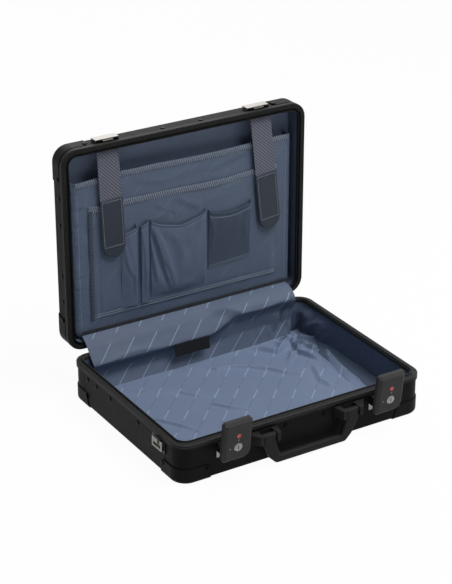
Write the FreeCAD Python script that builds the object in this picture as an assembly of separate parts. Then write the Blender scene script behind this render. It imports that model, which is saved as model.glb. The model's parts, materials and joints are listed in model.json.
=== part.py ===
import FreeCAD, Part
import os
from math import cos, radians, sin

Vector = FreeCAD.Vector

# An attache case with a hinged lid, standing open. Lengths are in millimetres, angles in degrees.
# X runs along the case's width, +Y from the handle to the hinge, +Z up from the floor.

# Case
case_width = 432.0
case_depth = 330.0
base_height = 66.0
lid_height = 37.0
corner_radius = 24.0
edge_radius = 4.5
open_angle = 90.0
parting_gap = 0.6

# Sheet walls
wall = 1.6
flange = 16.0
panel_thickness = 1.6
wrap = 41.0
seam_gap = 1.2

# Rim frame, with a tongue on the base and a sealed groove in the lid
rim_overhang = 2.0
rim_width = 10.0
rim_cap = 5.0
rim_band = 8.0
rim_leg = 2.4
rim_leg_depth = 20.0
rim_round = 1.2
tongue_inset = 6.6
tongue_width = 1.6
tongue_height = 2.6
groove_gap = 0.8
seal_gap = 0.4
seal_thickness = 1.0
flute_count = 3
flute_pitch = 2.1
flute_width = 1.0
flute_depth = 0.6

# Corner caps
cap_proud = 1.5
cap_height = 25.0
cap_foot = 53.0
cap_crown = 47.0
cap_rivet_reach = 47.0
cap_rivet_height = 19.0

# Rivets
rivet_radius = 3.8
small_rivet_radius = 2.6
rivet_head = 1.3
rivet_round = 1.1
shank_radius = 1.5
rivet_line = 16.5
base_side_shares = (-0.26, 0.26, 0.524, 0.697)
lid_side_shares = (-0.524, -0.26, 0.26, 0.524)
front_rivet_shares = (-0.158, 0.158)

# Lining
lining_inset = 8.0
lining_board = 1.5
floor_pad = 3.0
lid_pad = 2.0

# Hinge
hinge_reach = 6.4
hinge_end_gap = 5.0
knuckle_count = 13
barrel_radius = 3.2
hinge_pin_radius = 1.5
leaf = 1.5
leaf_foot = 26.0
leaf_lift = 0.5
knuckle_gap = 0.4
leaf_rivet_shares = (-0.42, -0.3, -0.18, -0.06, 0.06, 0.18, 0.3, 0.42)

# Latches: a bail hangs from the bracket and carries the lock plate
latch_share = 0.624
bracket_half = 19.5
bracket_drop = 8.5
bracket_height = 25.5
bracket_plate = 1.2
bracket_reach = 10.3
ear = 2.0
ear_height = 14.5
pivot_reach = 7.0
pivot_drop = 4.0
pivot_radius = 1.6
bail_length = 16.0
bail_half = 3.2
bail_arm = 2.0
bail_rod_radius = 1.8
bail_swing = 60.0
plate_tilt = 7.5
slide_gap = 0.5
keeper_reach = 6.4
keeper_thickness = 1.2
keeper_place = 13.0
keeper_height = 6.0
keeper_lip = 3.5
bracket_rivet_place = 8.0
bracket_rivet_rise = 3.5

# Lock plates
plate_width = 48.0
plate_height = 68.0
plate_drop = 27.5
plate_thickness = 10.5
plate_stand = 2.8
plate_wall = 2.3
plate_corner = 5.0
plate_heel = 13.0
plate_round = 1.6
plate_chamfer = 4.2
lug = 2.4
lug_half = 4.0
lock_gap = 5.1
bezel_radius = 7.0
bezel_proud = 0.8
lock_body_radius = 6.0
lock_body_length = 8.5
plug_radius = 4.6
plug_proud = 0.3
key_slot_width = 1.6
key_slot_height = 6.6
key_slot_depth = 6.0
cam_length = 11.2
cam_width = 5.0
cam_thickness = 2.0
cam_gap = 0.2
lamp_rise = 19.6
lamp_radius = 3.4
lamp_depth = 1.2

# Catches on the lid
catch_half = 20.0
catch_proud = 6.0
catch_sheet = 1.4
catch_foot = 10.0
catch_tab_half = 8.5
catch_tab_reach = 3.5
hook_play = 0.8

# Carrying handle
handle_share = 0.34
slot_width = 23.4
handle_ear_front = 6.0
handle_ear_back = 10.5
handle_flare = 19.0
handle_ear_drop = 10.6
handle_ear_height = 14.4
handle_ear_reach = 21.0
handle_base_height = 20.9
handle_base = 2.5
handle_rivet_place = 17.0
handle_rivet_rise = 3.3
handle_pivot_drop = 6.9
handle_pivot_reach = 14.5
handle_pin_radius = 2.5
arm_width = 22.0
arm_thickness = 10.0
arm_top_drop = 1.0
arm_bend_drop = 2.5
arm_lean = 8.0
arm_foot_width = 18.0
grip_low = 2.6
grip_height = 12.0
grip_corner = 11.0
grip_round = 8.0
handle_round = 3.4

# Strap loops on the side walls
loop_share = 0.655
loop_length = 28.0
loop_drop = 13.0
loop_wire = 1.6
loop_axis_drop = 12.5
loop_plate_length = 36.0
loop_plate_drop = 8.6
loop_plate_height = 20.4
loop_plate = 1.8
loop_stand = 3.9
loop_barrel_length = 12.0

# Organiser in the lid
pocket_stand = 10.5
pocket_cloth = 1.6
document_side_gap = 8.5
document_mouth = 46.0
document_corner = 14.0
file_margin = 27.0
file_low = 30.0
file_drop = 47.5
layer = 1.8
# Each small pocket: left and right edges as shares of the file pocket's half width,
# lower and upper edges as shares of its height.
pen_pocket_shares = ((-0.69, -0.525, 0.03, 0.79), (-0.515, -0.415, 0.03, 0.79))
notebook_pocket_shares = (-0.405, 0.215, 0.03, 0.76)
card_pocket_shares = (0.225, 0.69, 0.24, 0.74)

# Straps over the organiser
strap_width = 37.0
strap_thickness = 1.5
strap_stand = 5.2
strap_start = 0.8
strap_share = 0.634
left_strap_drop = 99.0
right_strap_drop = 116.0
left_strap_lean = 2.3
right_strap_lean = 6.0
tab_width = 40.0
tab_length = 98.0
tab_thickness = 2.4
tab_overlap = 18.0

# Lining gusset across the hinge, and the bare label on it
gusset_margin = 26.0
gusset_taper = 10.0
gusset_cloth = 1.2
gusset_radius = 37.7
gusset_drop = 15.6
label_half = 32.0
label_height = 20.0
label_rise = 0.6
label_shift = 13.4
label_thickness = 0.6

# Fits
overrun = 1.0
seat_gap = 0.05
pin_gap = 0.05
cloth_gap = 0.3
touch = 0.01
straight = 0.001

along_x = Vector(1, 0, 0)
along_y = Vector(0, 1, 0)
up = Vector(0, 0, 1)
origin = Vector(0, 0, 0)
sides = {"left": -1, "right": 1}

base_top = base_height - parting_gap / 2
base_depth = base_top - cap_proud
lid_depth = lid_height - parting_gap / 2 - cap_proud
hinge_length = case_width - 2 * (cap_foot + hinge_end_gap)
hinge_y = case_depth / 2 + hinge_reach
hinge_point = Vector(0, hinge_y, base_height)
lining_face = lining_inset + lining_board
document_half = case_width / 2 - lining_face - document_side_gap
document_height = case_depth - 2 * lining_face - document_mouth
file_half = document_half - file_margin
file_height = document_height - file_drop - file_low
gusset_half_top = case_width / 2 - gusset_margin
gusset_half_foot = gusset_half_top - gusset_taper
gusset_hem = cap_proud + wall + panel_thickness + floor_pad + cloth_gap
latch_place = latch_share * case_width / 2
bracket_place = handle_share * case_width / 2
loop_place = loop_share * case_depth / 2
strap_place = strap_share * case_width / 2
plate_face = plate_stand + plate_thickness
bracket_high = base_height - bracket_drop
bracket_low = bracket_high - bracket_height
ear_low = bracket_high - ear_height
pivot_height = bracket_high - pivot_drop
plate_low = pivot_height - plate_drop
lock_height = pivot_height - bail_length + bail_rod_radius + lock_body_radius + lock_gap
lamp_height = lock_height + lamp_rise
handle_ear_high = base_height - handle_ear_drop
handle_ear_low = handle_ear_high - handle_ear_height
handle_base_low = handle_ear_high - handle_base_height
handle_pivot_height = handle_ear_high - handle_pivot_drop
arm_top = handle_ear_high - arm_top_drop
arm_bend = handle_ear_low - arm_bend_drop
loop_axis_height = base_height - loop_axis_drop
loop_plate_high = base_height - loop_plate_drop
loop_plate_low = loop_plate_high - loop_plate_height
label_low = base_height - gusset_drop + label_rise - label_height
bail_pivot = Vector(0, -case_depth / 2 - pivot_reach, pivot_height)
plate_pivot = bail_pivot - up * bail_length
groove_depth = tongue_height - parting_gap + seal_gap + seal_thickness


def front(reach):
    """The Y of a point that stands out from the front wall by reach."""
    return -case_depth / 2 - reach


def block(x, y, z):
    """A box between the low and high ends given along each axis."""
    corner = Vector(x[0], y[0], z[0])
    return Part.makeBox(x[1] - x[0], y[1] - y[0], z[1] - z[0], corner)


def rod(radius, start, end):
    """A round bar from one point to another."""
    way = end.sub(start)
    return Part.makeCylinder(radius, way.Length, start, way)


def bar_along_x(radius, low, high, y, z):
    """A round bar that runs along X at a given place."""
    return rod(radius, Vector(low, y, z), Vector(high, y, z))


def prism(points, way):
    """A straight-sided solid swept from a closed outline."""
    outline = Part.makePolygon(points + [points[0]])
    return Part.Face(outline).extrude(way)


def edges_along(solid, way):
    """The straight edges of a solid that run along a direction."""
    found = []
    for edge in solid.Edges:
        is_line = edge.Curve.TypeId == "Part::GeomLine"
        if is_line and edge.tangentAt(edge.FirstParameter).cross(way).Length < straight:
            found.append(edge)
    return found


def edges_at(solid, axis, place):
    """The edges of a solid that lie flat in the plane at a place on an axis, X, Y or Z."""
    low = axis + "Min"
    high = axis + "Max"
    found = []
    for edge in solid.Edges:
        box = edge.BoundBox
        if abs(getattr(box, low) - place) < touch and abs(getattr(box, high) - place) < touch:
            found.append(edge)
    return found


def slab(offset, low, high, low_round=0, high_round=0):
    """A slab of the case's rounded outline, moved out by offset, with its flat edges rounded."""
    x = case_width / 2 + offset
    y = case_depth / 2 + offset
    solid = block((-x, x), (-y, y), (low, high))
    solid = solid.makeFillet(corner_radius + offset, edges_along(solid, up))
    for height, radius in ((low, low_round), (high, high_round)):
        if radius > 0:
            solid = solid.makeFillet(radius, edges_at(solid, "Z", height))
    return solid


def ring(outer, inner, low, high):
    """A frame of the case's outline between two offsets."""
    return slab(outer, low, high).cut(slab(inner, low - overrun, high + overrun))


# Both halves are built hanging below a parting plane at height zero.


def wall_pieces(depth):
    """The four wall strips: front and back wrap round the corners, and the sides fill between."""
    shell = slab(0, -depth, -rim_cap, edge_radius)
    shell = shell.cut(slab(-wall, wall - depth, 0, edge_radius - wall))
    shell = shell.cut(slab(-flange, -depth - overrun, 0))
    seam = case_depth / 2 - wrap
    across = (-case_width, case_width)
    tall = (-depth - overrun, 0)
    middle = (seam_gap / 2 - seam, seam - seam_gap / 2)
    return {
        "front_wall": shell.common(block(across, (-case_depth, -seam - seam_gap / 2), tall)),
        "back_wall": shell.common(block(across, (seam + seam_gap / 2, case_depth), tall)),
        "left_panel": shell.common(block((-case_width, 0), middle, tall)),
        "right_panel": shell.common(block((0, case_width), middle, tall)),
    }


def flat_panel(depth):
    """The large panel, lying inside on the walls' flange."""
    low = wall - depth
    return slab(-edge_radius, low, low + panel_thickness)


def rim():
    """The rim frame, which grips the walls' edge and covers it."""
    cap = slab(rim_overhang, -rim_cap, 0, 0, rim_round)
    cap = cap.cut(slab(-rim_width, -rim_cap - overrun, overrun))
    band = ring(rim_overhang, seat_gap, -rim_band, -rim_cap)
    leg_face = wall + seat_gap
    leg = ring(-leg_face, -leg_face - rim_leg, -rim_leg_depth, -rim_cap)
    flutes = []
    for index in range(flute_count):
        outer = rim_overhang - rim_round - (index + 1) * flute_pitch + flute_width
        flutes.append(ring(outer, outer - flute_width, -flute_depth, overrun))
    return cap.fuse([band, leg]).removeSplitter().cut(flutes)


def base_rim():
    """The base's rim, with the tongue that locates the lid."""
    tongue = ring(-tongue_inset, -tongue_inset - tongue_width, 0, tongue_height)
    return rim().fuse(tongue).removeSplitter()


def groove(side_gap, low, high):
    """The ring of space round the tongue, or what fills part of it."""
    return ring(side_gap - tongue_inset, -tongue_inset - tongue_width - side_gap, low, high)


def lid_rim():
    """The lid's rim, with the groove that takes the tongue."""
    return rim().cut(groove(groove_gap, -groove_depth, overrun))


def lid_seal():
    """The flat rubber seal in the bottom of the lid's groove."""
    return groove(groove_gap - seat_gap, -groove_depth, seal_thickness - groove_depth)


def wall_lining(depth):
    """The upright lining board, hung inside the rim's edge."""
    return ring(-lining_inset, -lining_face, wall + panel_thickness - depth, -rim_cap)


def panel_lining(depth, pad):
    """The padded lining that lies on the large panel."""
    low = wall + panel_thickness - depth
    return slab(-lining_face - cloth_gap, low, low + pad)


def corner_caps(depth):
    """The four caps that wrap the outer corners, two walls and the panel side."""
    low = -depth - cap_proud
    high = low + cap_height
    skin = slab(cap_proud, low, high, edge_radius + cap_proud)
    skin = skin.cut(slab(seat_gap, -depth - seat_gap, high + overrun, edge_radius + seat_gap))
    caps = []
    for x_sign in (-1, 1):
        for y_sign in (-1, 1):
            wedge = corner_wedge(x_sign, y_sign, low, high)
            caps.append(skin.common(wedge))
    return caps


def corner_wedge(x_sign, y_sign, low, high):
    """The block of space that one corner cap is cut from, longer at the foot than at the crown."""
    wires = []
    for height, length in ((low, cap_foot), (high, cap_crown)):
        near_x = x_sign * (case_width / 2 - length)
        near_y = y_sign * (case_depth / 2 - length)
        far_x = x_sign * case_width
        far_y = y_sign * case_depth
        points = [(near_x, near_y), (far_x, near_y), (far_x, far_y), (near_x, far_y), (near_x, near_y)]
        wires.append(Part.makePolygon([Vector(x, y, height) for x, y in points]))
    return Part.makeLoft(wires, True, True)


# A rivet is written as its seat, the way its head faces, the grip of its shank and its head's radius.


def rivet(seat, way, grip, radius):
    """A rivet with a rounded head."""
    head = Part.makeCylinder(radius, rivet_head)
    head = head.makeFillet(rivet_round, edges_at(head, "Z", rivet_head))
    piece = head.fuse(Part.makeCylinder(shank_radius, grip, origin, -up)).removeSplitter()
    piece.Placement = FreeCAD.Placement(seat, FreeCAD.Rotation(up, way))
    return piece


def drill(piece, rivets):
    """A piece with the holes that the rivets' shanks pass through."""
    holes = []
    for seat, way, grip, _ in rivets:
        holes.append(rod(shank_radius + seat_gap, seat + way * overrun, seat - way * (grip + seat_gap)))
    return piece.cut(holes)


def cap_rivets(depth):
    """Two rivets in each corner cap, one through each wall."""
    height = cap_rivet_height - depth - cap_proud
    grip = cap_proud + wall
    found = []
    for x_sign in (-1, 1):
        for y_sign in (-1, 1):
            side_x = x_sign * (case_width / 2 + cap_proud)
            side_y = y_sign * (case_depth / 2 - cap_rivet_reach)
            found.append((Vector(side_x, side_y, height), along_x * x_sign, grip, rivet_radius))
            end_x = x_sign * (case_width / 2 - cap_rivet_reach)
            end_y = y_sign * (case_depth / 2 + cap_proud)
            found.append((Vector(end_x, end_y, height), along_y * y_sign, grip, rivet_radius))
    return found


def side_rim_rivets(shares):
    """The rivets that hold the rim's leg to the two side walls, at shares of the half depth."""
    grip = wall + seat_gap + rim_leg
    found = []
    for x_sign in (-1, 1):
        for share in shares:
            seat = Vector(x_sign * case_width / 2, share * case_depth / 2, -rivet_line)
            found.append((seat, along_x * x_sign, grip, rivet_radius))
    return found


def front_rim_rivets():
    """The rivets that hold the rim's leg to the front wall."""
    grip = wall + seat_gap + rim_leg
    found = []
    for share in front_rivet_shares:
        seat = Vector(share * case_width / 2, -case_depth / 2, -rivet_line)
        found.append((seat, -along_y, grip, rivet_radius))
    return found


def leaf_rivets():
    """The rivets that hold one hinge leaf, the back wall and the rim's leg together."""
    grip = leaf + wall + seat_gap + rim_leg
    found = []
    for share in leaf_rivet_shares:
        seat = Vector(share * hinge_length, case_depth / 2 + leaf, -rivet_line)
        found.append((seat, along_y, grip, small_rivet_radius))
    return found


def hinge_leaf(own_first):
    """One hinge leaf: flat on the back wall, stepped out past the rim and rolled round the pin."""
    x = (-hinge_length / 2, hinge_length / 2)
    wall_y = case_depth / 2
    riser_y = hinge_y - barrel_radius
    axis_z = parting_gap / 2
    step = -rim_band - leaf_lift - leaf
    piece = block(x, (wall_y, wall_y + leaf), (-leaf_foot, step + leaf))
    piece = piece.fuse(block(x, (wall_y, riser_y + leaf), (step, step + leaf)))
    piece = piece.fuse(block(x, (riser_y, riser_y + leaf), (step, axis_z)))
    piece = piece.fuse(bar_along_x(barrel_radius, x[0], x[1], hinge_y, axis_z))
    pitch = hinge_length / knuckle_count
    cuts = [bar_along_x(hinge_pin_radius + pin_gap, x[0] - overrun, x[1] + overrun, hinge_y, axis_z)]
    for index in range(knuckle_count):
        if (index % 2 == 0) != own_first:
            low = x[0] + index * pitch - knuckle_gap / 2
            high = low + pitch + knuckle_gap
            cuts.append(bar_along_x(barrel_radius + knuckle_gap, low, high, hinge_y, axis_z))
    return piece.removeSplitter().cut(cuts)


def hinge_pin():
    """The hinge pin, as long as the barrel."""
    return bar_along_x(hinge_pin_radius, -hinge_length / 2, hinge_length / 2, hinge_y, base_height)


def set_base(shape):
    """Lifts a piece of the base from the parting plane to its height."""
    return shape.translated(up * base_top)


def set_lid(shape):
    """Turns a piece of the lid over onto the parting plane, then opens it about the hinge."""
    turned = shape.mirror(origin, up)
    turned.translate(up * (base_height + parting_gap / 2))
    turned.rotate(hinge_point, along_x, -open_angle)
    return turned


# Latch pieces are built latched, at the middle of the front wall.


def latch_bracket():
    """The chromed bracket: a plate on the wall, two ears for the bail and a keeper for the lock's cam."""
    wall_y = front(0)
    x = (-bracket_half, bracket_half)
    piece = block(x, (front(bracket_plate), wall_y), (bracket_low, bracket_high))
    for sign in (-1, 1):
        ear_x = sorted((sign * bracket_half, sign * (bracket_half - ear)))
        piece = piece.fuse(block(ear_x, (front(bracket_reach), wall_y), (ear_low, bracket_high)))
    keeper_z = (lock_height - keeper_height / 2, lock_height + keeper_height / 2)
    stem_x = (-keeper_place, keeper_thickness - keeper_place)
    piece = piece.fuse(block(stem_x, (front(keeper_reach), wall_y), keeper_z))
    lip_y = (front(keeper_reach), front(keeper_reach - keeper_thickness))
    piece = piece.fuse(block((-keeper_place, keeper_lip - keeper_place), lip_y, keeper_z))
    bore = bar_along_x(pivot_radius + seat_gap, *x, bail_pivot.y, bail_pivot.z)
    return piece.removeSplitter().cut(bore)


def latch_bracket_rivets():
    """The two rivets that hold the bracket to the wall."""
    found = []
    for sign in (-1, 1):
        seat = Vector(sign * bracket_rivet_place, front(bracket_plate), bracket_low + bracket_rivet_rise)
        found.append((seat, -along_y, bracket_plate + wall, small_rivet_radius))
    return found


def latch_pivots():
    """The two stub pins on which the bail swings, one in each ear."""
    pins = []
    for sign in (-1, 1):
        outer = sign * bracket_half
        inner = sign * (bracket_half - ear - slide_gap - bail_arm)
        pins.append(bar_along_x(pivot_radius, *sorted((outer, inner)), bail_pivot.y, bail_pivot.z))
    return pins


def latch_bail():
    """The chromed bail: two arms on the bracket's pivots, joined by the rod that carries the lock plate."""
    outer = bracket_half - ear - slide_gap
    y = (bail_pivot.y - bail_half, bail_pivot.y + bail_half)
    z = (plate_pivot.z, bail_pivot.z)
    piece = bar_along_x(bail_rod_radius, -outer, outer, plate_pivot.y, plate_pivot.z)
    for sign in (-1, 1):
        x = sorted((sign * outer, sign * (outer - bail_arm)))
        arm = block(x, y, z)
        for height in z:
            arm = arm.fuse(bar_along_x(bail_half, *x, bail_pivot.y, height))
        arm = arm.cut(bar_along_x(pivot_radius + pin_gap, *x, bail_pivot.y, bail_pivot.z))
        piece = piece.fuse(arm)
    return piece.removeSplitter()


def plate_body():
    """The lock plate's rounded block, with a larger round at its lower right and a sloped top edge."""
    half = plate_width / 2
    x = (-half, half)
    z = (plate_low, plate_low + plate_height)
    solid = block(x, (front(plate_face), front(plate_stand)), z)
    heel = [edge for edge in edges_along(solid, along_y) if is_at(edge, half, plate_low)]
    solid = solid.makeFillet(plate_heel, heel)
    others = [edge for edge in edges_along(solid, along_y) if is_plate_corner(edge)]
    solid = solid.makeFillet(plate_corner, others)
    face = front(plate_face)
    top_front = [edge for edge in edges_at(solid, "Z", z[1]) if abs(edge.BoundBox.YMax - face) < touch]
    solid = solid.makeChamfer(plate_chamfer, top_front)
    return solid.makeFillet(plate_round, edges_at(solid, "Y", face))


def is_at(edge, x, z):
    """Whether an edge that runs along Y stands at a place."""
    middle = edge.BoundBox.Center
    return abs(middle.x - x) < touch and abs(middle.z - z) < touch


def is_plate_corner(edge):
    """Whether an edge that runs along Y is one of the lock plate's three plain corners."""
    half = plate_width / 2
    high = plate_low + plate_height
    return is_at(edge, -half, plate_low) or is_at(edge, -half, high) or is_at(edge, half, high)


def lock_plate():
    """The hollow lock plate, with lugs for the bail's rod and a bore for the lock."""
    half = plate_width / 2 - plate_wall
    floor_y = front(plate_face - plate_wall)
    z = (plate_low + plate_wall, plate_low + plate_height - plate_wall)
    hollow = block((-half, half), (floor_y, front(0)), z)
    heel = [edge for edge in edges_along(hollow, along_y) if is_at(edge, half, z[0])]
    hollow = hollow.makeFillet(plate_heel - plate_wall, heel)
    piece = plate_body().cut(hollow)
    lug_outer = bracket_half - ear - slide_gap - bail_arm - slide_gap
    lug_z = (plate_pivot.z - lug_half, plate_pivot.z + lug_half)
    lug_y = (floor_y, plate_pivot.y + bail_rod_radius + lug)
    for sign in (-1, 1):
        x = sorted((sign * lug_outer, sign * (lug_outer - lug)))
        piece = piece.fuse(block(x, lug_y, lug_z))
    bore = bar_along_x(bail_rod_radius + pin_gap, -lug_outer, lug_outer, plate_pivot.y, plate_pivot.z)
    piece = piece.removeSplitter().cut(bore)
    piece = piece.cut(lock_bar(lock_body_radius + seat_gap, 0, plate_thickness))
    return piece.cut(lamp(lamp_radius + seat_gap))


def lock_bar(radius, start, end):
    """A round bar along the lock's axis, measured inwards from the lock plate's face."""
    near = Vector(0, front(plate_face - start), lock_height)
    far = Vector(0, front(plate_face - end), lock_height)
    return rod(radius, near, far)


def lock_cylinder():
    """The lock's housing, with its bright bezel, bored for the plug."""
    body = lock_bar(lock_body_radius, -bezel_proud, lock_body_length)
    bezel = lock_bar(bezel_radius, -bezel_proud, 0)
    bezel = bezel.makeChamfer(bezel_proud / 2, edges_at(bezel, "Y", front(plate_face + bezel_proud)))
    bore = lock_bar(plug_radius + pin_gap, -plate_thickness, plate_thickness)
    return body.fuse(bezel).removeSplitter().cut(bore)


def lock_plug():
    """The turning plug, with its key slot and the cam behind the housing."""
    cam_face = lock_body_length + cam_gap
    plug = lock_bar(plug_radius, -bezel_proud - plug_proud, cam_face)
    slot_x = (-key_slot_width / 2, key_slot_width / 2)
    slot_z = (lock_height - key_slot_height / 2, lock_height + key_slot_height / 2)
    slot_y = (front(plate_face + bezel_proud + plug_proud), front(plate_face - key_slot_depth))
    plug = plug.cut(block(slot_x, slot_y, slot_z))
    cam_y = (front(plate_face - cam_face), front(plate_face - cam_face - cam_thickness))
    cam = block((-cam_width / 2, cam_width / 2), cam_y, (lock_height, lock_height + cam_length))
    hub = lock_bar(plug_radius, cam_face, cam_face + cam_thickness)
    return plug.fuse([cam, hub]).removeSplitter()


def lamp(radius):
    """The round indicator set into the lock plate's face."""
    face = front(plate_face)
    return rod(radius, Vector(0, face, lamp_height), Vector(0, face + lamp_depth, lamp_height))


def swing_bail(shape):
    """Swings a latched piece out with the bail to its place at rest."""
    return shape.rotated(bail_pivot, along_x, -bail_swing)


def swing_plate(shape):
    """Carries a latched piece of the lock plate to its place at rest, leaning out at the top."""
    tilted = shape.rotated(plate_pivot, along_x, plate_tilt)
    return tilted.translated(plate_rest() - plate_pivot)


def plate_rest():
    """Where the bail's rod is at rest."""
    swing = radians(bail_swing)
    return bail_pivot - along_y * (bail_length * sin(swing)) - up * (bail_length * cos(swing))


def lid_catch():
    """The chromed catch under the lock plate's top edge, an open bridge with a tab towards the rim."""
    hook = plate_low + plate_height - plate_wall - hook_play
    high = -catch_foot
    low = base_height + parting_gap / 2 - hook
    x = (-catch_half, catch_half)
    inner_x = (catch_sheet - catch_half, catch_half - catch_sheet)
    piece = block(x, (front(catch_proud), front(0)), (low, high))
    inner_y = (front(catch_proud - catch_sheet), front(-overrun))
    inner_z = (low + catch_sheet, high + overrun)
    piece = piece.cut(block(inner_x, inner_y, inner_z))
    tab_y = (front(catch_proud - catch_sheet), front(catch_proud - 2 * catch_sheet))
    tab = block((-catch_tab_half, catch_tab_half), tab_y, (high - catch_tab_reach, high + catch_tab_reach))
    return piece.fuse(tab).removeSplitter()


def handle_bracket():
    """The right handle bracket: a base plate and two ears, the outer one flared towards the wall."""
    half_slot = slot_width / 2
    ends = {-1: half_slot + handle_ear_back, 1: half_slot + handle_flare}
    piece = block((-ends[-1], ends[1]), (front(handle_base), front(0)), (handle_base_low, handle_ear_high))
    for sign, outer in ends.items():
        points = [
            Vector(sign * half_slot, front(0), handle_ear_low),
            Vector(sign * outer, front(0), handle_ear_low),
            Vector(sign * outer, front(handle_base), handle_ear_low),
            Vector(sign * (half_slot + handle_ear_front), front(handle_ear_reach), handle_ear_low),
            Vector(sign * half_slot, front(handle_ear_reach), handle_ear_low),
        ]
        piece = piece.fuse(prism(points, up * (handle_ear_high - handle_ear_low)))
    return piece.removeSplitter().cut(handle_pin(handle_pin_radius + seat_gap))


def handle_pin(radius):
    """The pin through a bracket's ears and the handle's arm."""
    half = slot_width / 2 + handle_ear_front
    return bar_along_x(radius, -half, half, front(handle_pivot_reach), handle_pivot_height)


def handle_bracket_rivets():
    """The two rivets that hold a handle bracket to the wall."""
    found = []
    for sign in (-1, 1):
        seat = Vector(sign * handle_rivet_place, front(handle_base), handle_base_low + handle_rivet_rise)
        found.append((seat, -along_y, handle_base + wall, small_rivet_radius))
    return found


def handle():
    """The moulded handle: two leaning arms and a straight grip, bored for its pins."""
    y = front(handle_pivot_reach + arm_thickness / 2)
    top_outer = bracket_place + arm_width / 2
    top_inner = bracket_place - arm_width / 2
    foot_inner = top_inner - arm_lean
    foot_outer = foot_inner + arm_foot_width
    grip_top = grip_low + grip_height
    right_half = [
        (foot_outer - grip_corner, grip_low),
        (foot_outer, grip_low + grip_corner),
        (top_outer, arm_bend),
        (top_outer, arm_top),
        (top_inner, arm_top),
        (top_inner, arm_bend),
        (foot_inner, grip_top),
    ]
    left_half = [(-x, z) for x, z in reversed(right_half)]
    points = [Vector(x, y, z) for x, z in right_half + left_half]
    piece = prism(points, along_y * arm_thickness)
    low_corners = [edge for edge in edges_along(piece, along_y) if edge.BoundBox.ZMax < grip_low + touch]
    piece = piece.makeFillet(grip_round, low_corners)
    edges = edges_at(piece, "Y", y) + edges_at(piece, "Y", y + arm_thickness)
    piece = piece.makeFillet(handle_round, edges)
    for place in (-bracket_place, bracket_place):
        piece = piece.cut(handle_pin(handle_pin_radius + pin_gap).translated(along_x * place))
    return piece


# Strap loops are built on the right-hand wall, and mirrored for the left.


def loop_mount():
    """The plate on the side wall, with the barrel that the loop's top bar turns in."""
    face = case_width / 2
    y = (-loop_place - loop_plate_length / 2, loop_plate_length / 2 - loop_place)
    piece = block((face, face + loop_plate), y, (loop_plate_low, loop_plate_high))
    barrel_y = (-loop_place - loop_barrel_length / 2, loop_barrel_length / 2 - loop_place)
    barrel_x = (face, face + loop_stand + loop_wire + loop_plate)
    barrel_z = (loop_axis_height - loop_wire - loop_plate, loop_plate_high)
    piece = piece.fuse(block(barrel_x, barrel_y, barrel_z))
    return piece.removeSplitter().cut(loop_bar(loop_wire + pin_gap, loop_barrel_length / 2 + overrun))


def loop_bar(radius, half):
    """A round bar along the strap loop's axis."""
    x = case_width / 2 + loop_stand
    start = Vector(x, -loop_place - half, loop_axis_height)
    return rod(radius, start, start + along_y * (2 * half))


def strap_loop():
    """The chromed wire loop, hanging from its top bar."""
    x = case_width / 2 + loop_stand
    half = loop_length / 2 - loop_wire
    corners = []
    for y_sign, drop in ((-1, 0), (1, 0), (1, loop_drop), (-1, loop_drop)):
        corners.append(Vector(x, y_sign * half - loop_place, loop_axis_height - drop))
    piece = rod(loop_wire, corners[-1], corners[0])
    for start, end in zip(corners, corners[1:]):
        piece = piece.fuse(rod(loop_wire, start, end))
    for corner in corners:
        piece = piece.fuse(Part.makeSphere(loop_wire, corner))
    return piece.removeSplitter()


def mirror_left(shape):
    """The left-hand copy of a piece built on the right."""
    return shape.mirror(origin, along_x)


# The organiser is built in the lid half. Rise is measured from the lining on the hinge side.


def rise_to_y(rise):
    """The Y of a height up the open lid."""
    return case_depth / 2 - lining_face - rise


def organiser_pad(x, rises, depth, thickness):
    """A flat pocket layer: its edges along X, its rises and its depth below the rim."""
    y = (rise_to_y(rises[1]), rise_to_y(rises[0]))
    return block(x, y, (-depth - thickness, -depth))


def document_pocket():
    """The large pocket: a cloth front with sides and a bottom, open towards the handle side."""
    back = lid_depth - wall - panel_thickness - lid_pad
    x = (-document_half, document_half)
    outer = organiser_pad(x, (cloth_gap, document_height), pocket_stand, back - pocket_stand)
    foot = rise_to_y(cloth_gap)
    corners = [edge for edge in edges_along(outer, up) if abs(edge.BoundBox.Center.y - foot) < touch]
    outer = outer.makeFillet(document_corner, corners)
    inner_x = (pocket_cloth - document_half, document_half - pocket_cloth)
    inner_rises = (cloth_gap + pocket_cloth, document_height + overrun)
    inner = organiser_pad(inner_x, inner_rises, pocket_stand + pocket_cloth, back)
    foot = rise_to_y(cloth_gap + pocket_cloth)
    corners = [edge for edge in edges_along(inner, up) if abs(edge.BoundBox.Center.y - foot) < touch]
    inner = inner.makeFillet(document_corner - pocket_cloth, corners)
    return outer.cut(inner)


def file_pocket():
    """The second pocket, sewn to the front of the document pocket."""
    x = (-file_half, file_half)
    return organiser_pad(x, (file_low, file_low + file_height), pocket_stand - layer, layer)


def small_pocket(shares):
    """A small pocket sewn to the front of the file pocket."""
    left_share, right_share, low_share, high_share = shares
    x = (left_share * file_half, right_share * file_half)
    rises = (file_low + low_share * file_height, file_low + high_share * file_height)
    return organiser_pad(x, rises, pocket_stand - 2 * layer, layer)


def strap(place, drop, lean):
    """A webbing strap, sewn in at the handle side of the lid and leaning a little as it hangs."""
    top = rim_width + strap_start - case_depth / 2
    x = (place - strap_width / 2, place + strap_width / 2)
    z = (-strap_stand - strap_thickness, -strap_stand)
    piece = block(x, (top - strap_width, top + drop), z).rotated(Vector(place, top, 0), up, -lean)
    beyond = block((-case_width, case_width), (-case_depth, top), (-lid_height, 0))
    return piece.cut(beyond)


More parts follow.
